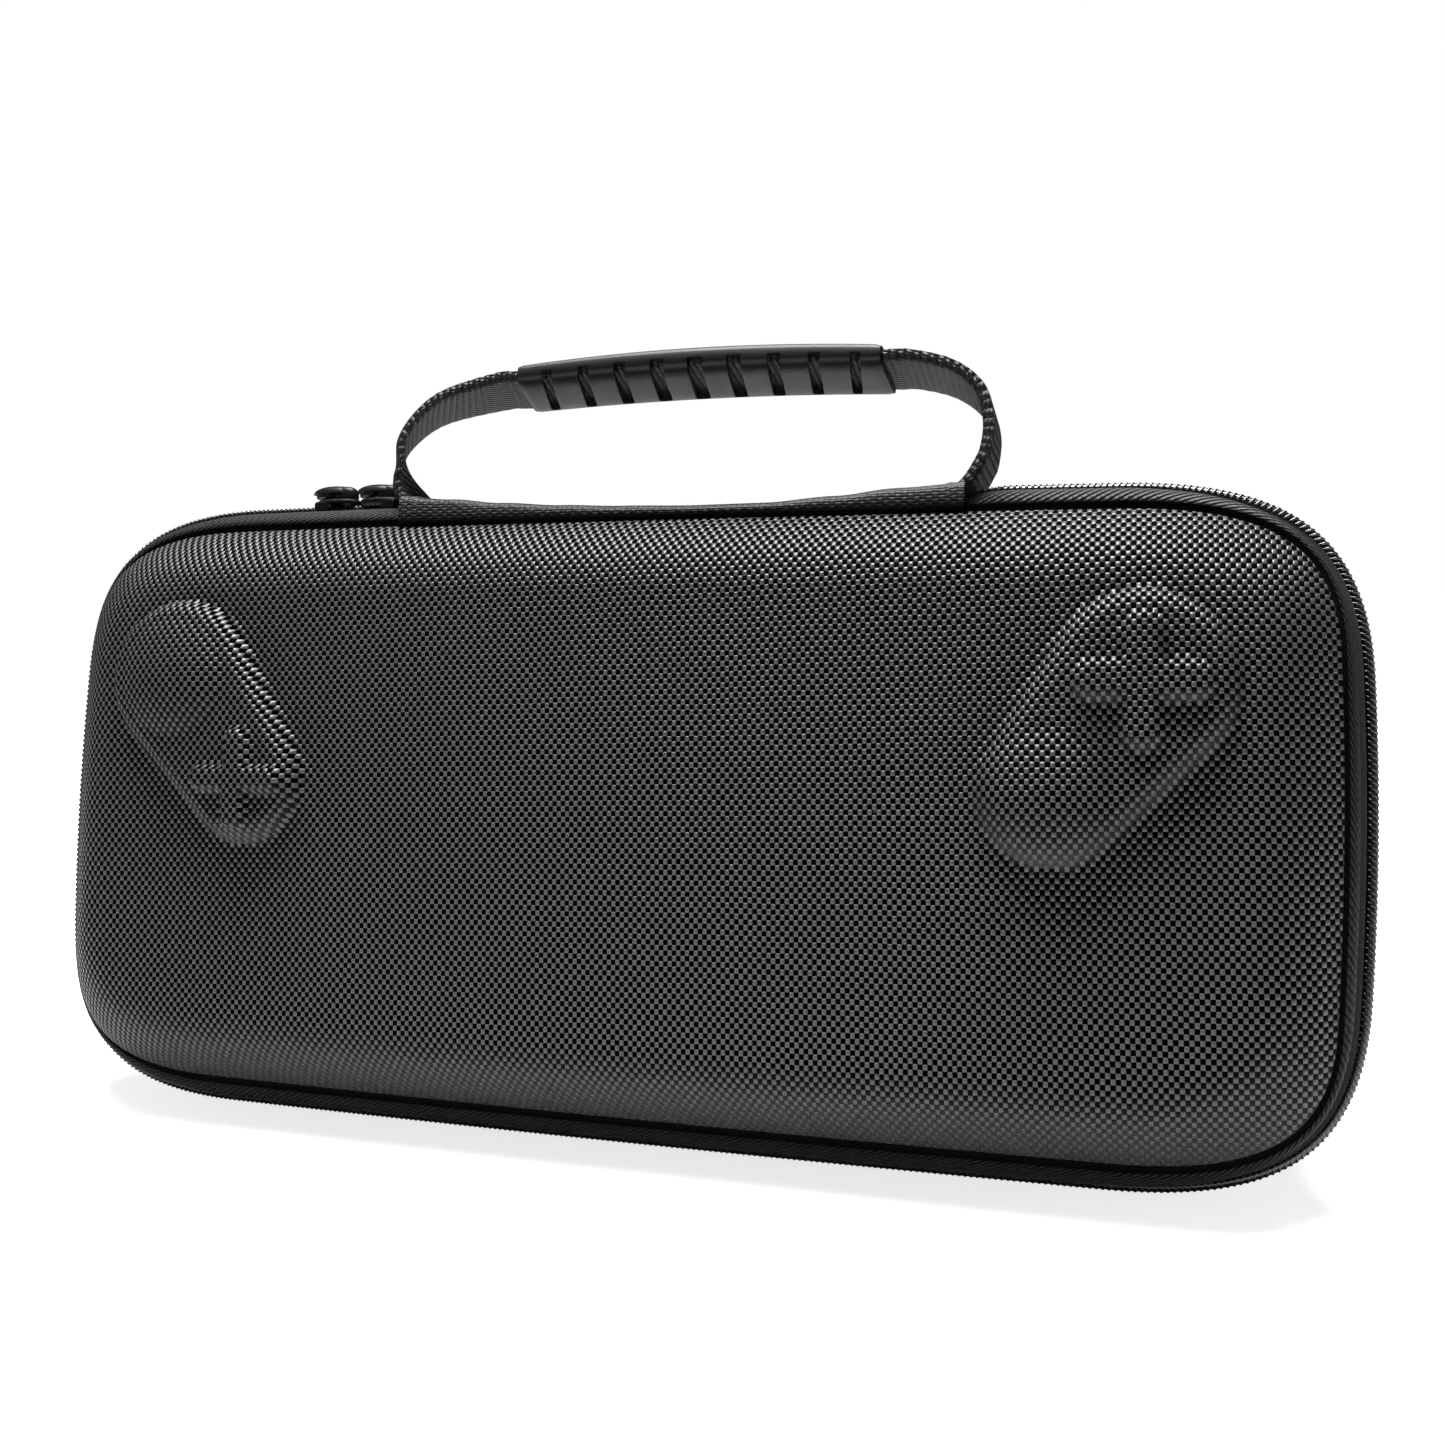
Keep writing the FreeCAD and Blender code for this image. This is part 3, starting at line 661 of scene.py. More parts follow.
def make_rubber():
    m, n = material("grip_rubber", 0.46, specular=0.35)
    grain = n.noise(n.position(), 2600.0, 3.0)
    tone = n.noise(n.position(), 60.0, 3.0)
    n.paint(Base_Color=n.mix(tone, color(0.004), color(0.007)))
    n.paint(Roughness=n.span(tone, 0.2, 0.8, 0.40, 0.50))
    n.paint(Normal=n.bump(grain, 0.00004))
    return m


def make_metal():
    m, n = material("black_enamel", 0.34, specular=0.25)
    tone = n.noise(n.position(), 400.0, 3.0)
    n.paint(Base_Color=n.mix(tone, color(0.004), color(0.009)))
    n.paint(Roughness=n.span(tone, 0.0, 1.0, 0.28, 0.42))
    return m


def make_flock(name, level):
    m, n = material(name, 0.9, sheen=0.35, sheen_roughness=0.5, specular=0.2)
    fibre = n.noise(n.position(), 1800.0, 4.0, 0.7)
    tone = n.noise(n.position(), 28.0, 3.0)
    short = n.mix(fibre, color(level * 0.6), color(level * 1.5))
    n.paint(Base_Color=n.mix(n.times(tone, 0.35), short, color(level * 1.4)))
    n.paint(Normal=n.bump(fibre, 0.00015))
    return m


def make_seam_shade():
    """Painted shade: near-black colour for the sewn groove between the welt and the lid, where shade falls."""
    m, n = material("painted_seam_shade", 0.8, specular=0.1)
    thread = n.use(TWILL, Vector=n.cloth_uv())
    n.paint(Base_Color=n.mix(thread["Height"], color(0.001), color(0.005)))
    return m


def make_net():
    """Elastic net: hexagonal holes cut through by alpha."""
    m, n = material("elastic_net", 0.7, sheen=0.1)
    cells = n.new("TexVoronoi")
    cells.feature = "DISTANCE_TO_EDGE"
    cells.inputs["Scale"].default_value = 480.0
    cells.inputs["Randomness"].default_value = 0.25
    n.feed(cells.inputs["Vector"], n.cloth_uv())
    thread = n.span(cells.outputs["Distance"], 0.14, 0.2, 1.0, 0.0)
    n.paint(Base_Color=color(0.02))
    n.paint(Alpha=thread)
    n.paint(Normal=n.bump(thread, 0.0002))
    return m


CHARCOAL = make_ballistic("charcoal_weave", 0.080)
GUSSET = make_gusset_cloth()
TWILL_CLOTH = make_twill_cloth()
WEBBING = make_webbing_cloth()
NYLON = make_nylon()
RUBBER = make_rubber()
ENAMEL = make_metal()
LINING = make_flock("brushed_lining", 0.032)
HOOKS = make_flock("hook_and_loop", 0.016)
NET = make_net()
SEAM_SHADE = make_seam_shade()

# Material indices of the shells: woven cloth, brushed lining, and painted shade in the seam groove
WOVEN, BRUSHED, SEAM_SHADED = 0, 1, 2


# Lid: two raised pads, each the outline of two circles, with a dome and a plus on them

RELIEFS = (((117.0, 110.2), (98.6, 86.7)), ((-117.0, 109.4), (-97.0, 84.5)))
BIG_RADIUS, SMALL_RADIUS = 19.5, 15.6
PAD_HEIGHT, PAD_SLOPE, PAD_FOOT = 4.7, 4.6, 0.6
DOMES = (((98.6, 86.7), 12.8), ((-117.0, 109.4), 14.8))
DOME_HEIGHT, DOME_FULLNESS = 2.9, 0.85
CROSSES = (((117.0, 110.2), 14.0, 3.8), ((-97.0, 84.5), 12.2, 3.0))
CROSS_HEIGHT, CROSS_SLOPE, CROSS_FOOT = 2.3, 1.8, 0.6
LINING_RELIEF = 0.85


def inside_pad(x, z, big, small):
    """Distance inward from the outline of two circles and their tangents."""
    dx, dz = small[0] - big[0], small[1] - big[1]
    span = math.hypot(dx, dz)
    px, pz = x - big[0], z - big[1]
    along = (px * dx + pz * dz) / span
    across = abs(-px * dz + pz * dx) / span
    k = (BIG_RADIUS - SMALL_RADIUS) / span
    c = math.sqrt(1 - k * k)
    s = along * c - across * k
    if s < 0:
        return BIG_RADIUS - math.hypot(along, across)
    if s > span * c:
        return SMALL_RADIUS - math.hypot(along - span, across)
    return BIG_RADIUS - along * k - across * c


def soft(t):
    """Rises from 0 to 1 with a tight foot and a round shoulder."""
    t = min(1.0, max(0.0, t))
    foot = min(1.0, t / 0.22)
    return (1 - (1 - t) ** 2.4) * (foot * foot * (3 - 2 * foot)) ** 0.6


def inside_cross(x, z, centre, arm, half):
    """Distance inward from a plus with round arm ends."""
    px, pz = abs(x - centre[0]), abs(z - centre[1])
    level = half - math.hypot(max(0.0, px - (arm - half)), pz)
    upright = half - math.hypot(px, max(0.0, pz - (arm - half)))
    return max(level, upright)


def relief(x, z):
    """Height of the lid's reliefs above its face."""
    rise = 0.0
    for big, small in RELIEFS:
        rise += PAD_HEIGHT * soft((inside_pad(x, z, big, small) + PAD_FOOT) / (PAD_SLOPE + PAD_FOOT))
    for centre, radius in DOMES:
        r = math.hypot(x - centre[0], z - centre[1]) / radius
        if r < 1:
            rise += DOME_HEIGHT * (1 - r * r) ** DOME_FULLNESS
    for centre, arm, half in CROSSES:
        rise += CROSS_HEIGHT * soft((inside_cross(x, z, centre, arm, half) + CROSS_FOOT) / CROSS_SLOPE)
    return rise


# Profiles as (depth from the seam, inset from the chain's outer edge)
SEWN_DEPTH = 4.6
SEWN_EDGE = [(SEWN_DEPTH, 2.9)]
WELD = 1e-6
LID_LIP = [(4.6, 3.7), (5.0, 4.2), (5.7, 5.9), (6.2, 8.2), (7.7, 8.2), (8.3, 7.75), (8.9, 7.5)]
LID_PROFILE = [(9.6, 7.62), (14.522, 11.05), (19.212, 15.5), (21.9, 19.02), (23.05, 22.32), (23.5, 25.42)]
BASE_LIP = [(7.2, 2.9), (7.2, 5.6), (7.6, 6.1), (9.6, CREASE)]


def new_cloth():
    """An empty mesh and its layer for the weave."""
    bm = bmesh.new()
    return bm, bm.loops.layers.uv.new("cloth")


def make_lid():
    bm, uv = new_cloth()
    outside = spline(LID_PROFILE, 14)
    inner = [p for p in beside(outside, WALL) if p[1] > RIM + 0.4]
    first = inner[0][0] - 1.05 * (inner[0][1] - RIM)
    # The lid's lip faces in the seam groove take the near-black painted shade.
    slots = [SEAM_SHADED] * (len(LID_LIP) - 2) + [WOVEN] * len(outside) + [WOVEN]
    outer_rings = ring_band(bm, uv, FINE, LID_LIP + outside, -1, False, slots, pinched=True)
    fill_face(bm, uv, FINE, outer_rings[-1], lambda x, z: -relief(x, z))
    planar_uv(uv, [f for f in bm.faces if f.calc_center_median().y < -8.4 * MM])
    lining = SEWN_EDGE + [(SEWN_DEPTH, RIM), (first, RIM)] + inner
    inner_rings = ring_band(bm, uv, FINE, lining, -1, False, [BRUSHED] * len(lining))
    fill_face(bm, uv, FINE, inner_rings[-1], lambda x, z: -LINING_RELIEF * relief(x, z), BRUSHED)
    bmesh.ops.remove_doubles(bm, verts=bm.verts, dist=WELD)
    obj = link("lid_shell", bm, [CHARCOAL, LINING, SEAM_SHADE], 60.0)
    return stand_in(obj, "front_shell", "lid")


def make_base():
    bm, uv = new_cloth()
    slope = BASE_DRAFT / (BASE_DEPTH - BASE_LIP[-1][0])
    knee = BASE_DEPTH - BASE_CORNER
    wall = SEWN_EDGE + BASE_LIP
    wall += [(y, CREASE + slope * (y - BASE_LIP[-1][0])) for y in (18.0, 26.0, 34.0, knee)]
    start = wall[-1][1]
    for k in range(1, 9):
        a = k / 8 * math.pi / 2
        wall.append((knee + BASE_CORNER * math.sin(a), start + BASE_CORNER * (1 - math.cos(a))))
    rings = ring_band(bm, uv, PLAIN, wall, 1, False, [WOVEN] * len(wall))
    fill_face(bm, uv, PLAIN, rings[-1], lambda x, z: 0.0)
    floor = BASE_DEPTH - WALL
    lining = SEWN_EDGE + [(SEWN_DEPTH, RIM), (10.0, RIM + 0.1), (knee, start + WALL),
                          (floor - 0.6, start + WALL + 0.6), (floor, start + WALL + 2.0)]
    inner = ring_band(bm, uv, PLAIN, lining, 1, False, [BRUSHED] * len(lining))
    fill_face(bm, uv, PLAIN, inner[-1], lambda x, z: 0.0, BRUSHED)
    bmesh.ops.remove_doubles(bm, verts=bm.verts, dist=WELD)
    obj = link("base_shell", bm, [CHARCOAL, LINING], 50.0)
    return stand_in(obj, "rear_shell", "base")


# Zipper

# Body, and first word of the frame's node names, on each side of the seam
SIDES = {-1: ("lid", "front"), 1: ("base", "rear")}
LID_WELT = [(2.95, 2.6), (3.5, 2.0), (4.8, 1.85), (6.2, 2.6), (7.1, 3.8), (7.35, 4.9), (6.9, 6.0), (6.8, 7.2)]
LID_WELT_BACK = [(6.8, 7.9), (6.4, 7.7), (6.1, 5.6), (5.6, 3.6), (4.6, 3.0), (3.2, 3.3), (0.3, 3.4)]
BASE_WELT = [(4.6, 2.4), (5.5, 1.5), (6.9, 1.0), (8.6, 1.8), (9.7, 3.82), (10.1, 5.72)]
BASE_WELT_BACK = [(9.9, 6.1), (8.0, 6.1), (7.25, 5.6), (7.25, 3.4), (0.3, 3.4)]


def make_tape(side):
    """Zipper tape: web under the spiral, a crisp fold, then the welt rolled over the flange."""
    bm, uv = new_cloth()
    if side < 0:
        profile = [(0.3, 2.95), (2.4, 2.95)] + spline(LID_WELT, 18) + LID_WELT_BACK
    else:
        profile = [(0.3, 2.95), (3.0, 2.95), (4.0, 2.6), (4.3, 2.2)] + spline(BASE_WELT, 16) + BASE_WELT_BACK
    # Faces deep in the lid tape's groove take the near-black painted shade.
    slots = [1 if side < 0 and depth > 6.0 and inset > 5.2 else 0 for depth, inset in profile]
    ring_band(bm, uv, Spread(36, even(96), even(36)), profile, side, True, slots, pinched=side < 0)
    body, first = SIDES[side]
    obj = link(body + "_tape", bm, [TWILL_CLOTH, SEAM_SHADE], 60.0)
    return stand_in(obj, first + "_zipper_tape", body)


def walk_outline(inset):
    """Dense points from the strip's right end round to its left, with their running length."""
    ring = Spread(64, even(240), even(96)).ring(inset)

    def nearest(goal):
        """Index of the point on the upper side that is nearest to goal along X."""
        return min(range(len(ring)), key=lambda i: abs(ring[i][0] - goal) + (1000 if ring[i][1] < 0 else 0))

    start = nearest(STRIP[1] + CHAIN_PAST)
    ring = ring[start:] + ring[:start]
    ring = ring[:nearest(STRIP[0] - CHAIN_PAST) + 1]
    return ring, running(ring)


def make_spiral(side):
    """One half of the chain: a spiral of monofilament round a cord, laid round the case."""
    pitch, yarn, steps, sides = 1.36, 0.36, 12, 6
    half_y, half_n, slant = 1.0, 1.05, 0.42
    centre_y = 1.5
    core_sides, core_more = 10, 0.12
    path, lengths = walk_outline(1.42)
    bm = new_cloth()[0]
    core = []
    for i in range(0, len(path), 2):
        nx, nz = square_to(path, i)
        centre = at(path[i][0], centre_y, path[i][1], side)
        out = Vector((nx, 0, nz)) * (half_n + core_more) * MM
        across = Vector((0, side * (half_y + core_more) * MM, 0))
        core.append(circle(bm, core_sides, lambda a: centre + across * math.cos(a) + out * math.sin(a)))
    loft(bm, core)
    cap(bm, core)
    turns = []
    j = 0
    for i in range(int(lengths[-1] / pitch) * steps + 1):
        angle = 2 * math.pi * i / steps + (math.pi if side > 0 else 0.0)
        s = min(lengths[-1] - 1e-6, pitch * (i / steps) + (0.5 * pitch if side > 0 else 0.0))
        while lengths[j + 1] < s:
            j += 1
        t = (s - lengths[j]) / (lengths[j + 1] - lengths[j])
        tx, tz = path[j + 1][0] - path[j][0], path[j + 1][1] - path[j][1]
        x, z = path[j][0] + t * tx, path[j][1] + t * tz
        size = math.hypot(tx, tz)
        tangent = Vector((tx / size, 0, tz / size))
        out = Vector((-tangent.z, 0, tangent.x))
        cy, sn = math.cos(angle), math.sin(angle)
        flat_y, flat_n = signed_power(cy, 0.8), signed_power(sn, 0.7)
        shift = Vector((0, side * half_y * flat_y, 0)) + out * half_n * flat_n + tangent * slant * flat_n
        point = at(x, centre_y, z, side) + shift * MM
        radial = (Vector((0, side * cy / half_y, 0)) + out * (sn / half_n)).normalized()
        turns.append(circle(
            bm, sides, lambda a: point + (radial * math.cos(a) + tangent * math.sin(a)) * yarn * MM))
    loft(bm, turns)
    body, first = SIDES[side]
    return stand_in(link(body + "_spiral", bm, NYLON, 80.0), first + "_zipper_coil", body)


def make_binding(side):
    """Flat ribbon folded over the sewn edge inside the rim."""
    bm, uv = new_cloth()
    profile = [(3.6, 5.3), (3.55, 7.0), (3.6, 9.0), (3.62, 10.6), (3.9, 11.3), (4.4, 11.52), (6.5, 11.5),
               (7.45, 11.4), (7.5, 10.6), (4.6, 10.52), (4.5, 9.0), (4.5, 5.4)]
    ring_band(bm, uv, PLAIN, profile, side, True)
    body, first = SIDES[side]
    obj = link(body + "_binding", bm, TWILL_CLOTH, 60.0)
    return stand_in(obj, first + "_rim_binding", body)


# Hinge strip

STRIP_HALF = 10.75
STRIP_LOW = 149.6


def strip_section(x, end):
    """Half-round gusset section at x, from its sewn front edge over to the back one."""
    top = crest(x)
    low = STRIP_LOW + 0.3 * end
    side = [(-STRIP_HALF + 0.95, low), (-STRIP_HALF + 0.15, low + 0.9),
            (-STRIP_HALF - 0.05, STRIP_LOW + 0.5 * (top - STRIP_LOW)),
            (-STRIP_HALF + 0.35, top - 1.1), (-STRIP_HALF + 1.6, top - 0.42), (-7.0, top), (-3.6, top + 0.42)]
    return side + [(0.0, top + 0.6)] + [(-y, z) for y, z in reversed(side)]


def make_strip():
    """Woven gusset over the hinge, its ends folded under and sewn down over the webbing."""
    bm, uv = new_cloth()
    columns = 120
    left, right = STRIP
    rings = []
    for share in even(columns):
        x = (left + right) / 2 + share * (right - left) / 2
        end = smoothstep((abs(share) - 0.8) / 0.2)
        fold = 0.32 * smoothstep((abs(share) - 0.935) / 0.012)
        sewn = 0.26 * math.exp(-((abs(share) - 0.962) / 0.007) ** 2)
        outer = spline(strip_section(x, end), 36)
        inner = beside(outer, -STRIP_THICK)
        outer = beside(outer, fold - sewn)
        rings.append([bm.verts.new(Vector((x, y, z)) * MM) for y, z in outer + inner[::-1]])
    count = len(rings[0])
    for i in range(columns):
        run = 0.0
        for k in range(count):
            m = (k + 1) % count
            step = (rings[i][m].co - rings[i][k].co).length
            face = bm.faces.new((rings[i][k], rings[i][m], rings[i + 1][m], rings[i + 1][k]))
            for loop, v in zip(face.loops, (run, run + step, run + step, run)):
                loop[uv].uv = (loop.vert.co.x, v)
            run += step
    for ring in (rings[0], rings[-1]):
        for k in range(count // 2 - 1):
            bm.faces.new((ring[k], ring[k + 1], ring[count - 2 - k], ring[count - 1 - k]))
    return stand_in(link("hinge_gusset", bm, GUSSET, 50.0), "hinge_strip", "base")


# Handle

HANDLE_MIDDLE = 6.0
ROOT_SPACING = 138.0
LEFT_BULGE, RIGHT_BULGE = 8.6, 6.8
RISE = 29.6
GRIP_CENTRE = 10.5
GRIP_LENGTH = 93.0
GRIP_WIDTH = 21.0
GRIP_ARCH = 1.6
SLOT_FIRST = 7.2
WEB_WIDTH, WEB_THICK = 18.5, 2.7
SCALLOP, SCALLOP_PITCH = 0.22, 3.2
# The webbing's ends under the strip and its lower legs, from the roots
LEFT_TAIL = ((5.0, -3.1), (2.0, -3.0), (-0.6, -2.2), (-2.9, -0.6), (-4.3, 1.4), (-5.6, 3.6), (-6.9, 6.6))
RIGHT_TAIL = ((5.0, 3.0), (3.4, 0.2), (1.6, -2.0), (-0.4, -3.4), (-2.6, -4.2), (-6.0, -4.4))


def handle_line():
    """Points (x, z) on the webbing's middle line, tails included."""
    left = HANDLE_MIDDLE - ROOT_SPACING / 2
    right = HANDLE_MIDDLE + ROOT_SPACING / 2
    grip_left = GRIP_CENTRE - GRIP_LENGTH / 2
    grip_right = GRIP_CENTRE + GRIP_LENGTH / 2
    points = [(left + x, z) for x, z in LEFT_TAIL]
    points += [(left - LEFT_BULGE, 0.45 * RISE), (left - 0.42 * LEFT_BULGE, 0.68 * RISE),
               (left + 0.55 * LEFT_BULGE, 0.84 * RISE), (grip_left - 6.5, 0.945 * RISE),
               (grip_left, RISE - GRIP_ARCH),
               (GRIP_CENTRE - GRIP_LENGTH / 4, RISE - GRIP_ARCH / 4), (GRIP_CENTRE, RISE),
               (GRIP_CENTRE + GRIP_LENGTH / 4, RISE - GRIP_ARCH / 4), (grip_right, RISE - GRIP_ARCH),
               (grip_right + 6.5, 0.935 * RISE), (right - 0.3 * RIGHT_BULGE, 0.84 * RISE),
               (right + 0.68 * RIGHT_BULGE, 0.66 * RISE), (right + RIGHT_BULGE, 0.43 * RISE),
               (right + 0.93 * RIGHT_BULGE, 6.2)]
    points += [(right + x, z) for x, z in RIGHT_TAIL]
    return spline(points, 260)


def handle_yaw(x, z):
    """How far the webbing's back edge is swung towards -X, as a slope, at a point of the handle."""
    up = smoothstep(z / 12.0)
    left_leg = 0.44 * up * smoothstep((-30.0 - x) / 30.0) + 0.12 * smoothstep((20.0 - x) / 60.0) * up
    right_leg = 0.02 * smoothstep((x - 62.0) / 14.0) * up
    return left_leg + right_leg


def make_webbing():
    """Ribbed webbing of the handle with scalloped selvedges."""
    line = handle_line()
    run = running(line)
    bm, uv = new_cloth()
    half, thick = WEB_WIDTH / 2, WEB_THICK / 2
    flat = [-half + 1.1 + (WEB_WIDTH - 2.2) * k / 8 for k in range(9)]
    section = [(y, thick) for y in flat]
    section += [(half - 0.45, 0.85 * thick), (half, 0.0), (half - 0.45, -0.85 * thick)]
    section += [(-y, -thick) for y in flat]
    section += [(-half + 0.45, -0.85 * thick), (-half, 0.0), (-half + 0.45, 0.85 * thick)]
    rings = []
    for i, (x, z) in enumerate(line):
        nx, nz = square_to(line, i)
        slope = handle_yaw(x, z)
        roll = math.tan(GRIP_ROLL) * roll_share(z)
        scallop = SCALLOP * math.cos(2 * math.pi * run[i] / SCALLOP_PITCH)
        ring = []
        for y, t in section:
            if abs(y) > half - 1.0:
                y = math.copysign(abs(y) + scallop * (0.5 if abs(t) > 0.1 else 1.0), y)
            px = x + nx * t - slope * y
            pz = ROOT_Z + z + nz * t - roll * y
            ring.append(bm.verts.new(Vector((px, y, pz)) * MM))
        rings.append(ring)
    stops = running(section + section[:1])
    loft(bm, rings, uv, lambda vertex, step, row: (stops[step] * MM, run[row] * MM))
    cap(bm, rings)
    obj = link("handle_strap", bm, WEBBING, 50.0)
    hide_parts("handle_webbing")
    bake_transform(obj)
    return obj


GRIP_ROLL = math.radians(7.5)


def roll_share(z):
    """How much of the grip's roll the handle has at height z above its roots."""
    return smoothstep((z - 9.0) / 15.0)


def grip_point(x, y, t, share):
    """A point of the grip: its front edge is rolled up, so that the underside faces forward."""
    z = ROOT_Z + RISE - GRIP_ARCH * share * share
    across = y * math.cos(GRIP_ROLL) + t * math.sin(GRIP_ROLL)
    up = t * math.cos(GRIP_ROLL) - y * math.sin(GRIP_ROLL)
    return Vector((x - handle_yaw(x, RISE) * y, across, z + up)) * MM


def make_grip():
    """Moulded sleeve with soft edges, slotted across its underside so that the webbing shows."""
    bm = bmesh.new()
    rings = []
    for share in even(62):
        x = GRIP_CENTRE + share * GRIP_LENGTH / 2
        end = smoothstep((1 - abs(share)) / 0.015) * 0.12 + 0.88
        half_t = (3.3 - 0.45 * share * share) * end
        half_w = GRIP_WIDTH / 2 * (0.985 + 0.015 * end)
        rings.append(circle(bm, 48, lambda a: grip_point(
            x, half_w * signed_power(math.cos(a), 0.42), half_t * signed_power(math.sin(a), 0.62), share)))
    loft(bm, rings)
    cap(bm, rings)
    grip = link("handle_sleeve", bm, RUBBER, 40.0)
    cutter = make_slots()
    cut = grip.modifiers.new("slots", "BOOLEAN")
    cut.object = cutter
    cut.operation = "DIFFERENCE"
    cut.solver = "EXACT"
    soft_edges(grip, 0.00022, 2, 38)
    bake(grip)
    bpy.data.objects.remove(cutter)
    return stand_in(grip, "handle_grip", "handle")


def make_slots():
    """Slots with round ends, as one cutting mesh below the sleeve; the middle ones are widest."""
    bm = bmesh.new()
    count, slant, middle_y = 9, -0.16, -1.6
    for i in range(count):
        x = GRIP_CENTRE - GRIP_LENGTH / 2 + SLOT_FIRST + i * (GRIP_LENGTH - 2 * SLOT_FIRST) / (count - 1)
        share = 2 * (x - GRIP_CENTRE) / GRIP_LENGTH
        from_middle = abs(2 * i / (count - 1) - 1)
        half_w = (3.9 - 1.3 * from_middle) / 2
        half_reach = 10.4 - 0.6 * from_middle
        loop = []
        for k in range(16):
            a = 2 * math.pi * (k + 0.5) / 16
            y = math.copysign(half_reach - half_w, math.sin(a)) + half_w * math.sin(a)
            loop.append((x + half_w * math.cos(a) + slant * y, y + middle_y))
        low = [bm.verts.new(grip_point(px, y, -5.0, share)) for px, y in loop]
        high = [bm.verts.new(grip_point(px, y, -1.0 + 0.7 * smoothstep((-7.5 - y) / 3.0), share))
                for px, y in loop]
        loft(bm, [low, high])
        cap(bm, [low, high])
    return link("slot_cutter", bm, RUBBER)


def soft_edges(obj, width, segments, angle):
    edge = obj.modifiers.new("soft_edges", "BEVEL")
    edge.width = width
    edge.segments = segments
    edge.limit_method = "ANGLE"
    edge.angle_limit = math.radians(angle)


def bake(obj, smooth_angle=50.0):
    """Applies an object's modifiers to its mesh."""
    graph = bpy.context.evaluated_depsgraph_get()
    mesh = bpy.data.meshes.new_from_object(obj.evaluated_get(graph))
    old = obj.data
    obj.modifiers.clear()
    obj.data = mesh
    shade(mesh, smooth_angle)
    bpy.data.meshes.remove(old)


# Inside: formed tray, strap and net pocket

PLINTH_TOP = 23.5
RECESS_LOW, RECESS_HIGH = 12.35, 145.15
STRAP_WIDTH, STRAP_THICK, PATCH_THICK = 30.0, 1.2, 1.0
STRAP_OVERLAP, STRAP_TAB = 44.0, 12.0
PATCH_LENGTH = 40.0
STRAP_AIR = 0.3


def make_tray():
    """Brushed lining pressed over the formed foam: the frame's tray with every edge rounded over."""
    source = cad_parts["console_cradle"]
    mesh = bpy.data.meshes.new_from_object(source)
    tray = bpy.data.objects.new("formed_tray", mesh)
    bpy.context.scene.collection.objects.link(tray)
    skin = tray.modifiers.new("skin", "REMESH")
    skin.mode = "VOXEL"
    skin.voxel_size = 0.0016
    press = tray.modifiers.new("press", "SMOOTH")
    press.factor = 0.5
    press.iterations = 4
    bake(tray, 180.0)
    mesh = tray.data
    mesh.materials.clear()
    mesh.materials.append(LINING)
    return stand_in(tray, "console_cradle", "base")


def flat_band(name, line, width, thick, m, edge):
    """A woven band with round selvedges along (depth, z) points, centred on x = 0."""
    bm, uv = new_cloth()
    half, t = width / 2, thick / 2
    flat = [-half + edge + (width - 2 * edge) * k / 12 for k in range(13)]
    section = [(x, t) for x in flat] + [(half, 0.35 * t), (half, -0.35 * t)]
    section += [(-x, -t) for x in flat] + [(-half, -0.35 * t), (-half, 0.35 * t)]
    rings = []
    for i, (depth, z) in enumerate(line):
        nd, nz = square_to(line, i)
        rings.append([bm.verts.new(Vector((x, depth + nd * w, z + nz * w)) * MM) for x, w in section])
    stops, run = running(section + section[:1]), running(line)
    loft(bm, rings, uv, lambda vertex, step, row: (stops[step] * MM, run[row] * MM))
    cap(bm, rings)
    return link(name, bm, m, 50.0)


def make_strap(upper):
    """Half of the strap: a turned tab on the recess wall, then a band that lies on the plinth."""
    step = STRAP_THICK + 2 * PATCH_THICK
    lie = PLINTH_TOP - STRAP_AIR - (step if upper else 0.0) - STRAP_THICK / 2
    sign = 1 if upper else -1
    wall = (RECESS_HIGH if upper else RECESS_LOW) - sign * (STRAP_AIR + STRAP_THICK / 2)
    free = MID_Z - sign * STRAP_OVERLAP / 2
    turn = 1.6
    line = [(lie + STRAP_THICK / 2 - STRAP_TAB + k, wall) for k in range(0, 10)]
    line += [(lie - turn + turn * math.sin(a), wall - sign * turn * (1 - math.cos(a)))
             for a in (math.pi / 10, math.pi / 5, 0.3 * math.pi, 0.4 * math.pi, math.pi / 2)]
    count = 40
    for k in range(1, count + 1):
        share = k / count
        z = wall - sign * turn + (free - wall + sign * turn) * share
        line.append((lie - 0.25 * math.sin(math.pi * min(1.0, 2.2 * share)) ** 2, z))
    name = "upper_strap" if upper else "lower_strap"
    band = flat_band(name + "_band", line, STRAP_WIDTH, STRAP_THICK, WEBBING, 0.5)
    return stand_in(band, name, "base")


def make_patch(upper):
    """Hook or loop patch: a fuzzy pad with a flat woven border and a row of stitches."""
    back = PLINTH_TOP - STRAP_AIR - STRAP_THICK - (PATCH_THICK if upper else 0.0)
    half_x, half_z = STRAP_WIDTH / 2 - 1.5, PATCH_LENGTH / 2
    bm, uv = new_cloth()
    columns, rows = 27, 40
    sides = []
    for top in (False, True):
        grid = []
        for x in (half_x * share for share in even(columns)):
            line = []
            for z in (half_z * share for share in even(rows)):
                edge = min(half_x - abs(x), half_z - abs(z))
                rise = smoothstep(edge / 0.6) * 0.55 + 0.45 * smoothstep((edge - 1.6) / 0.9)
                depth = back - (PATCH_THICK * 0.94 * rise if top else 0.02)
                line.append(bm.verts.new(Vector((x, depth, MID_Z + z)) * MM))
            grid.append(line)
        sides.append(grid)
        fill_grid(bm, uv, grid)
    border = [(i, 0) for i in range(columns)] + [(columns, j) for j in range(rows)]
    border += [(i, rows) for i in range(columns, 0, -1)] + [(0, j) for j in range(rows, 0, -1)]
    loft(bm, [[grid[i][j] for i, j in border] for grid in sides])
    node = "hook_patch" if upper else "loop_patch"
    return stand_in(link(node + "_pad", bm, HOOKS, 50.0), node, "base")


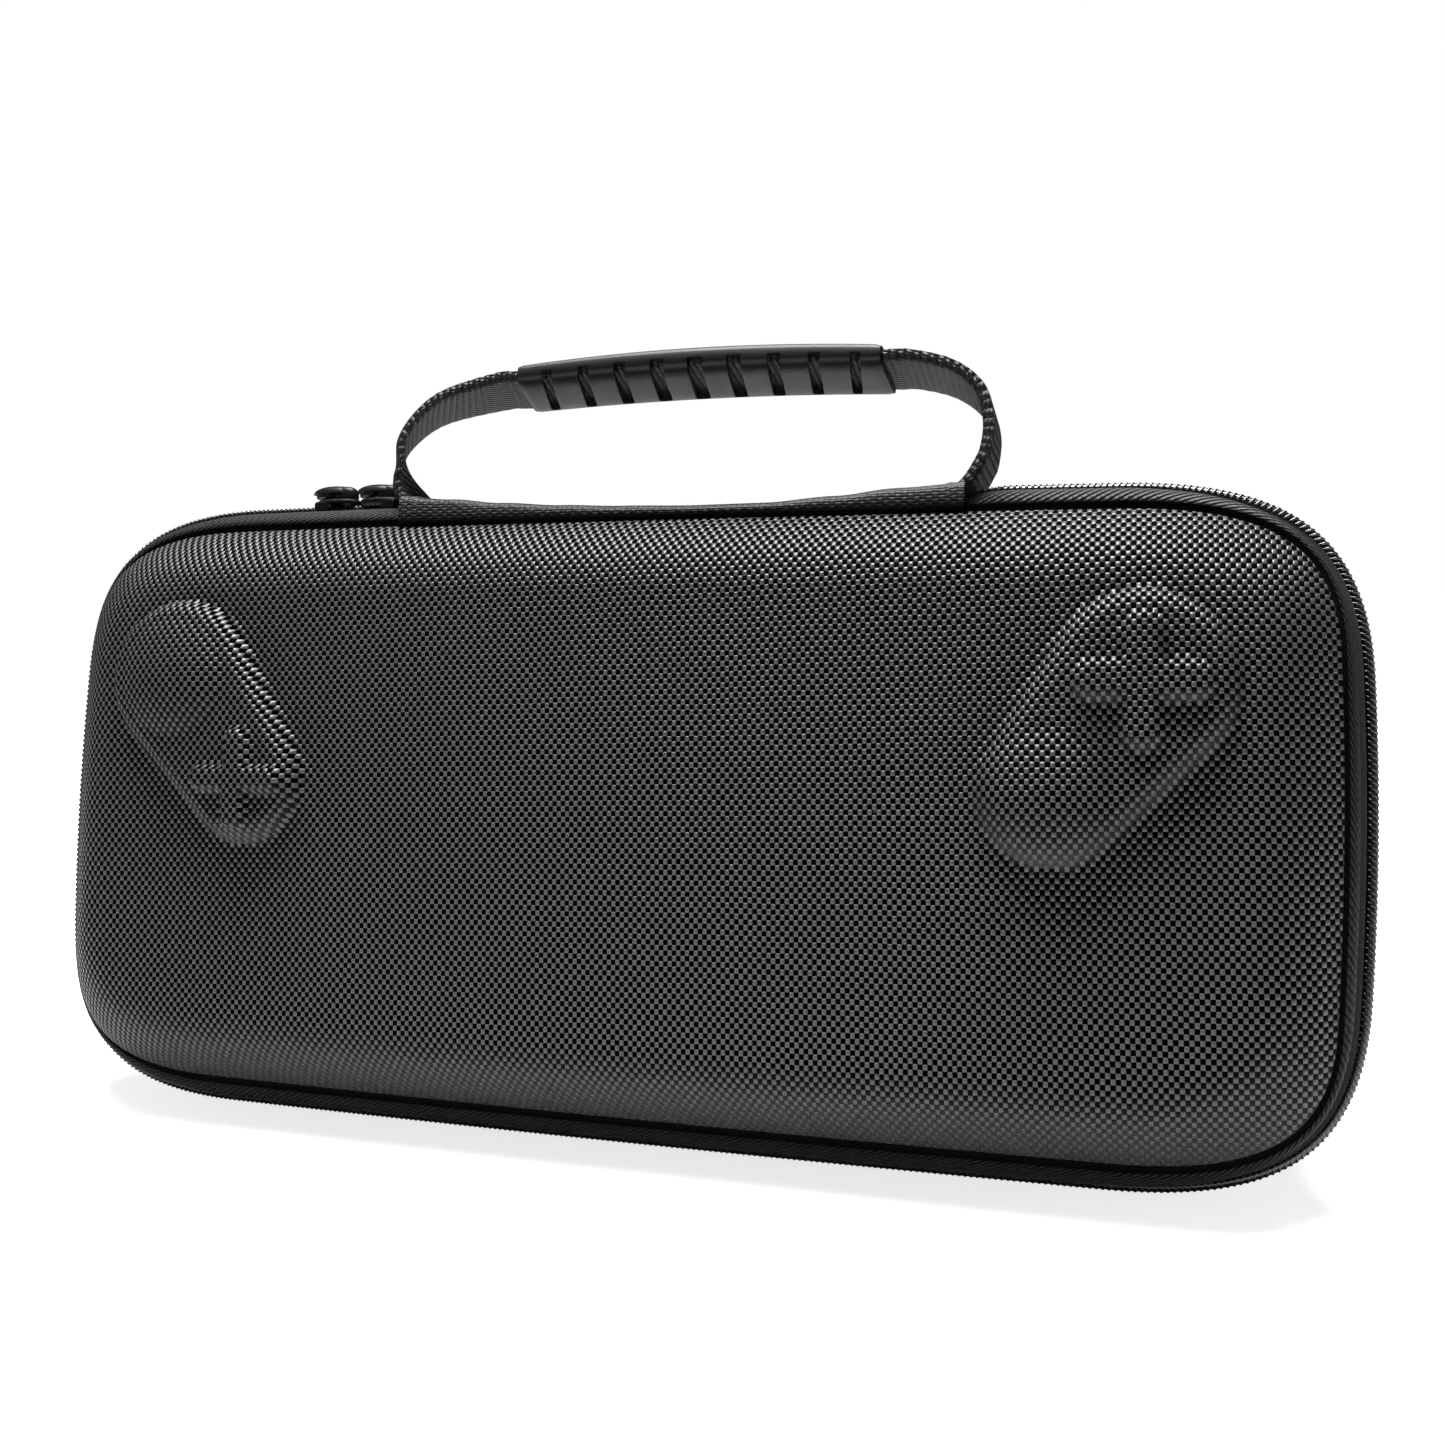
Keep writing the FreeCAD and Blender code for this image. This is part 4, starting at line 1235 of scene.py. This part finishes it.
MESH_DEPTH, MESH_TOP, MESH_BINDING = 14.9, 104.0, 7.0


def lid_hollow_inset(depth, gap):
    """Inset of the lid's inner face at this depth."""
    return table_at(beside(spline(LID_PROFILE, 40), WALL + gap), depth)


def low_edge(ring, x):
    """Height of the outline's lower edge at x, from its centre."""
    return table_at(sorted((px, pz) for px, pz in ring if pz <= 0), x)


def gather(x, z):
    """Soft scallops of the net under its elastic edge."""
    near_top = smoothstep((z - 60.0) / 44.0)
    return near_top * (0.28 * math.sin(x / 3.1) + 0.2 * math.sin(x / 7.7 + 1.3))


def make_pocket():
    """Net pocket stretched over the lid's hollow under an elastic binding."""
    ring = PLAIN.ring(lid_hollow_inset(MESH_DEPTH, 0.5))
    reach_x = max(x for x, _ in ring) - 0.05
    bm, uv = new_cloth()
    rows = 26
    grid = []
    for share in even(150):
        x = reach_x * share
        low = MID_Z + low_edge(ring, x)
        line = []
        for j in range(rows + 1):
            z = low + (MESH_TOP - 0.6 - low) * j / rows
            line.append(bm.verts.new(Vector((x, -MESH_DEPTH + 0.3 * gather(x, z), z)) * MM))
        grid.append(line)
    fill_grid(bm, uv, grid)
    area = sum(face.calc_area() for face in bm.faces)
    net = stand_in(link("pocket_net", bm, NET, 180.0), "pocket_mesh", "lid")
    hem = make_pocket_hem(reach_x)
    (MESH_TOP - MID_Z - low_edge(ring, 0.0)) * MM
    return net


def make_pocket_hem(reach_x):
    """Elastic binding folded over the net's upper edge, drawn into small gathers."""
    bm, uv = new_cloth()
    low, high = MESH_TOP - MESH_BINDING, MESH_TOP + 0.8
    section = [(-0.55, low), (-0.75, low + 0.5), (-0.78, high - 1.4), (-0.55, high - 0.5), (0.0, high - 0.15),
               (0.55, high - 0.5), (0.78, high - 1.4), (0.75, low + 0.5), (0.55, low)]
    rings = []
    for share in even(220):
        x = reach_x * share
        wave = 0.3 * gather(x, MESH_TOP)
        pinch = 1.0 + 0.12 * math.sin(x / 1.3)
        rings.append([bm.verts.new(Vector((x, -MESH_DEPTH + wave + d * pinch, z)) * MM) for d, z in section])
    stops = running(section + section[:1])
    loft(bm, rings, uv, lambda vertex, step, row: (vertex.co.x, stops[step] * MM))
    cap(bm, rings)
    return stand_in(link("pocket_hem", bm, TWILL_CLOTH, 50.0), "pocket_binding", "lid")


# Sliders

# Each slider's node, its place along the top and the stretch of its folded lips
SLIDERS = (("left_slider", -88.55, (-5.6, -1.6)), ("right_slider", -75.65, (1.0, 5.0)))
TOP_HALF = 109.4
LIP_Y = 3.85
# Plates: half length, half width, and (height, inset) levels above the chain's top
UPPER_PLATE = (6.2, 4.2, ((0.3, 0.35), (0.55, 0.0), (1.05, 0.0), (1.5, 0.5)))
LOWER_PLATE = (5.6, 2.6, ((-4.45, 0.3), (-4.2, 0.0), (-3.5, 0.0), (-3.25, 0.3)))
# Blocks: centre, half sizes, squareness, and for the bridge the height of its flat floor
NECK = ((3.8, 0.0, -1.4), (1.2, 0.2, 2.4), 0.4)
POST = ((-3.85, 0.0, 2.6), (0.72, 0.95, 2.2), 0.5)
HOUSING = ((1.4, 0.0, 2.8), (3.2, 2.45, 2.6), 0.7)
BRIDGE = ((-1.8, 0.0, 3.15), (6.4, 2.8, 2.5), 0.88, 3.45)


def lump(bm, place, centre, size, power, floor=-9.0):
    """A rounded block: a superellipsoid, cut flat at its floor."""
    rings = []
    for i in range(1, 14):
        lat = math.pi * (i / 14 - 0.5)
        wide = signed_power(math.cos(lat), power)
        w = max(floor, centre[2] + size[2] * signed_power(math.sin(lat), power))
        rings.append(circle(bm, 32, lambda lon: place(
            centre[0] + size[0] * wide * signed_power(math.cos(lon), power),
            centre[1] + size[1] * wide * signed_power(math.sin(lon), power), w)))
    loft(bm, rings)
    cap(bm, rings[::-1])


def slab(bm, place, half_u, half_y, levels):
    """A plate with a rounded outline, given by (height, inset) levels from below to above."""
    rings = []
    for w, inset in levels:
        rings.append(circle(bm, 48, lambda a: place(
            (half_u - inset) * signed_power(math.cos(a), 2 / 3),
            (half_y - inset) * signed_power(math.sin(a), 2 / 3), w)))
    loft(bm, rings)
    cap(bm, rings[::-1])


def make_slider(node, x, lip):
    """Cast slider: bevelled plate with a folded lip, domed crown over its post, plate behind the chain."""
    bm = bmesh.new()
    tilt = 2 * LONG_BOW * -x / TOP_HALF ** 2
    level = CASE_HEIGHT - LONG_BOW * (x / TOP_HALF) ** 2

    def place(u, y, w):
        return Vector((x + u - tilt * w, y, level + w + tilt * u)) * MM

    slab(bm, place, *UPPER_PLATE)
    for y in (-LIP_Y, LIP_Y):
        lump(bm, place, ((lip[0] + lip[1]) / 2, y, -0.25), ((lip[1] - lip[0]) / 2, 0.36, 1.15), 0.5)
    slab(bm, place, *LOWER_PLATE)
    for block in (NECK, POST, HOUSING, BRIDGE):
        lump(bm, place, *block)
    return stand_in(link("zip_" + node, bm, ENAMEL, 32.0), node, node)


# Pieces kept from the frame

def dress(node, m):
    """Gives a frame node its material and soft edges."""
    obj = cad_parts[node]
    obj.data.materials.clear()
    obj.data.materials.append(m)
    soft_edges(obj, 0.0002, 3, 40)


make_lid()
make_base()
for side in (-1, 1):
    make_tape(side)
    make_spiral(side)
    make_binding(side)
make_strip()
make_webbing()
make_grip()
for node, x, lip in SLIDERS:
    make_slider(node, x, lip)
for node in ("left_pull", "right_pull"):
    dress(node, ENAMEL)
make_tray()
for upper in (True, False):
    make_strap(upper)
    make_patch(upper)
make_pocket()


# Stage, light and camera

# Name, place, size and watts of each softbox, and the point that all face
SOFTBOXES = (("overhead", (-0.02, 0.05, 1.05), (0.8, 0.5), 31.0),
             ("left_side", (-1.25, -0.30, 0.50), (0.8, 0.9), 0.9),
             ("right_side", (1.25, -0.30, 0.40), (0.8, 0.9), 0.6))
AIM = (0, 0, 0.08)
# Camera in the upright case's frame: yaw, pitch and roll in degrees, place in metres
CAMERA_ANGLES = (17.195, 3.349, 1.904)
CAMERA_PLACE = (0.12565, -0.34519, 0.08058)
FOCAL_PIXELS, FRAME_PIXELS, SENSOR_WIDTH = 1500.92, 1445, 36.0


def make_floor():
    """Pale floor that a camera sees as white, but for a soft shade under the case."""
    bm = bmesh.new()
    bmesh.ops.create_grid(bm, x_segments=8, y_segments=8, size=6.0)
    m, n = material("pale_floor", 0.8, specular=0.1)
    n.paint(Base_Color=(0.70, 0.70, 0.705, 1), Emission_Color=(1, 1, 1, 1))
    away = n.vector("LENGTH", n.vector("MULTIPLY", n.position(), (0.5, 1.0, 1.0))[0])["Value"]
    glow = n.span(away, 0.05, 0.13, 0.78, 1.0, smooth=True)
    n.paint(Emission_Strength=n.times(n.new("LightPath").outputs["Is Camera Ray"], glow))
    floor = link("floor", bm, m, place=Matrix.Identity(4))


def make_light(name, location, size, power):
    data = bpy.data.lights.new(name, "AREA")
    data.shape = "RECTANGLE"
    data.size, data.size_y = size
    data.energy = power
    lamp = bpy.data.objects.new(name, data)
    lamp.location = location
    aim = Vector(AIM) - Vector(location)
    lamp.rotation_euler = aim.to_track_quat("-Z", "Y").to_euler()
    bpy.context.scene.collection.objects.link(lamp)


def make_world():
    """White behind the case, and a dim even fill everywhere else."""
    world = bpy.data.worlds.new("studio")
    bpy.context.scene.world = world
    world.use_nodes = True
    n = Nodes(world.node_tree)
    back = world.node_tree.nodes["Background"]
    back.inputs["Color"].default_value = (1, 1, 1, 1)
    rays = n.new("LightPath").outputs
    seen = n.math("MAXIMUM", rays["Is Camera Ray"], rays["Is Transmission Ray"])
    n.feed(back.inputs["Strength"], n.span(seen, 0.0, 1.0, 0.03, 1.0))


def make_camera():
    """Camera fitted to the photograph's outline of the case."""
    yaw, pitch, roll = (math.radians(angle) for angle in CAMERA_ANGLES)
    forward = Vector((-math.sin(yaw) * math.cos(pitch), math.cos(yaw) * math.cos(pitch), math.sin(pitch)))
    right = Vector((math.cos(yaw), math.sin(yaw), 0))
    up = right.cross(forward)
    tilted_right = right * math.cos(roll) + up * math.sin(roll)
    tilted_up = up * math.cos(roll) - right * math.sin(roll)
    data = bpy.data.cameras.new("camera")
    data.sensor_width = SENSOR_WIDTH
    data.lens = FOCAL_PIXELS / FRAME_PIXELS * SENSOR_WIDTH
    camera = bpy.data.objects.new("camera", data)
    turn = Matrix((tilted_right, tilted_up, -forward)).transposed().to_4x4()
    camera.matrix_world = LEAN @ Matrix.Translation(CAMERA_PLACE) @ turn
    bpy.context.scene.collection.objects.link(camera)
    bpy.context.scene.camera = camera


make_floor()
make_world()
for softbox in SOFTBOXES:
    make_light(*softbox)
make_camera()
bpy.context.scene.view_settings.view_transform = "Standard"
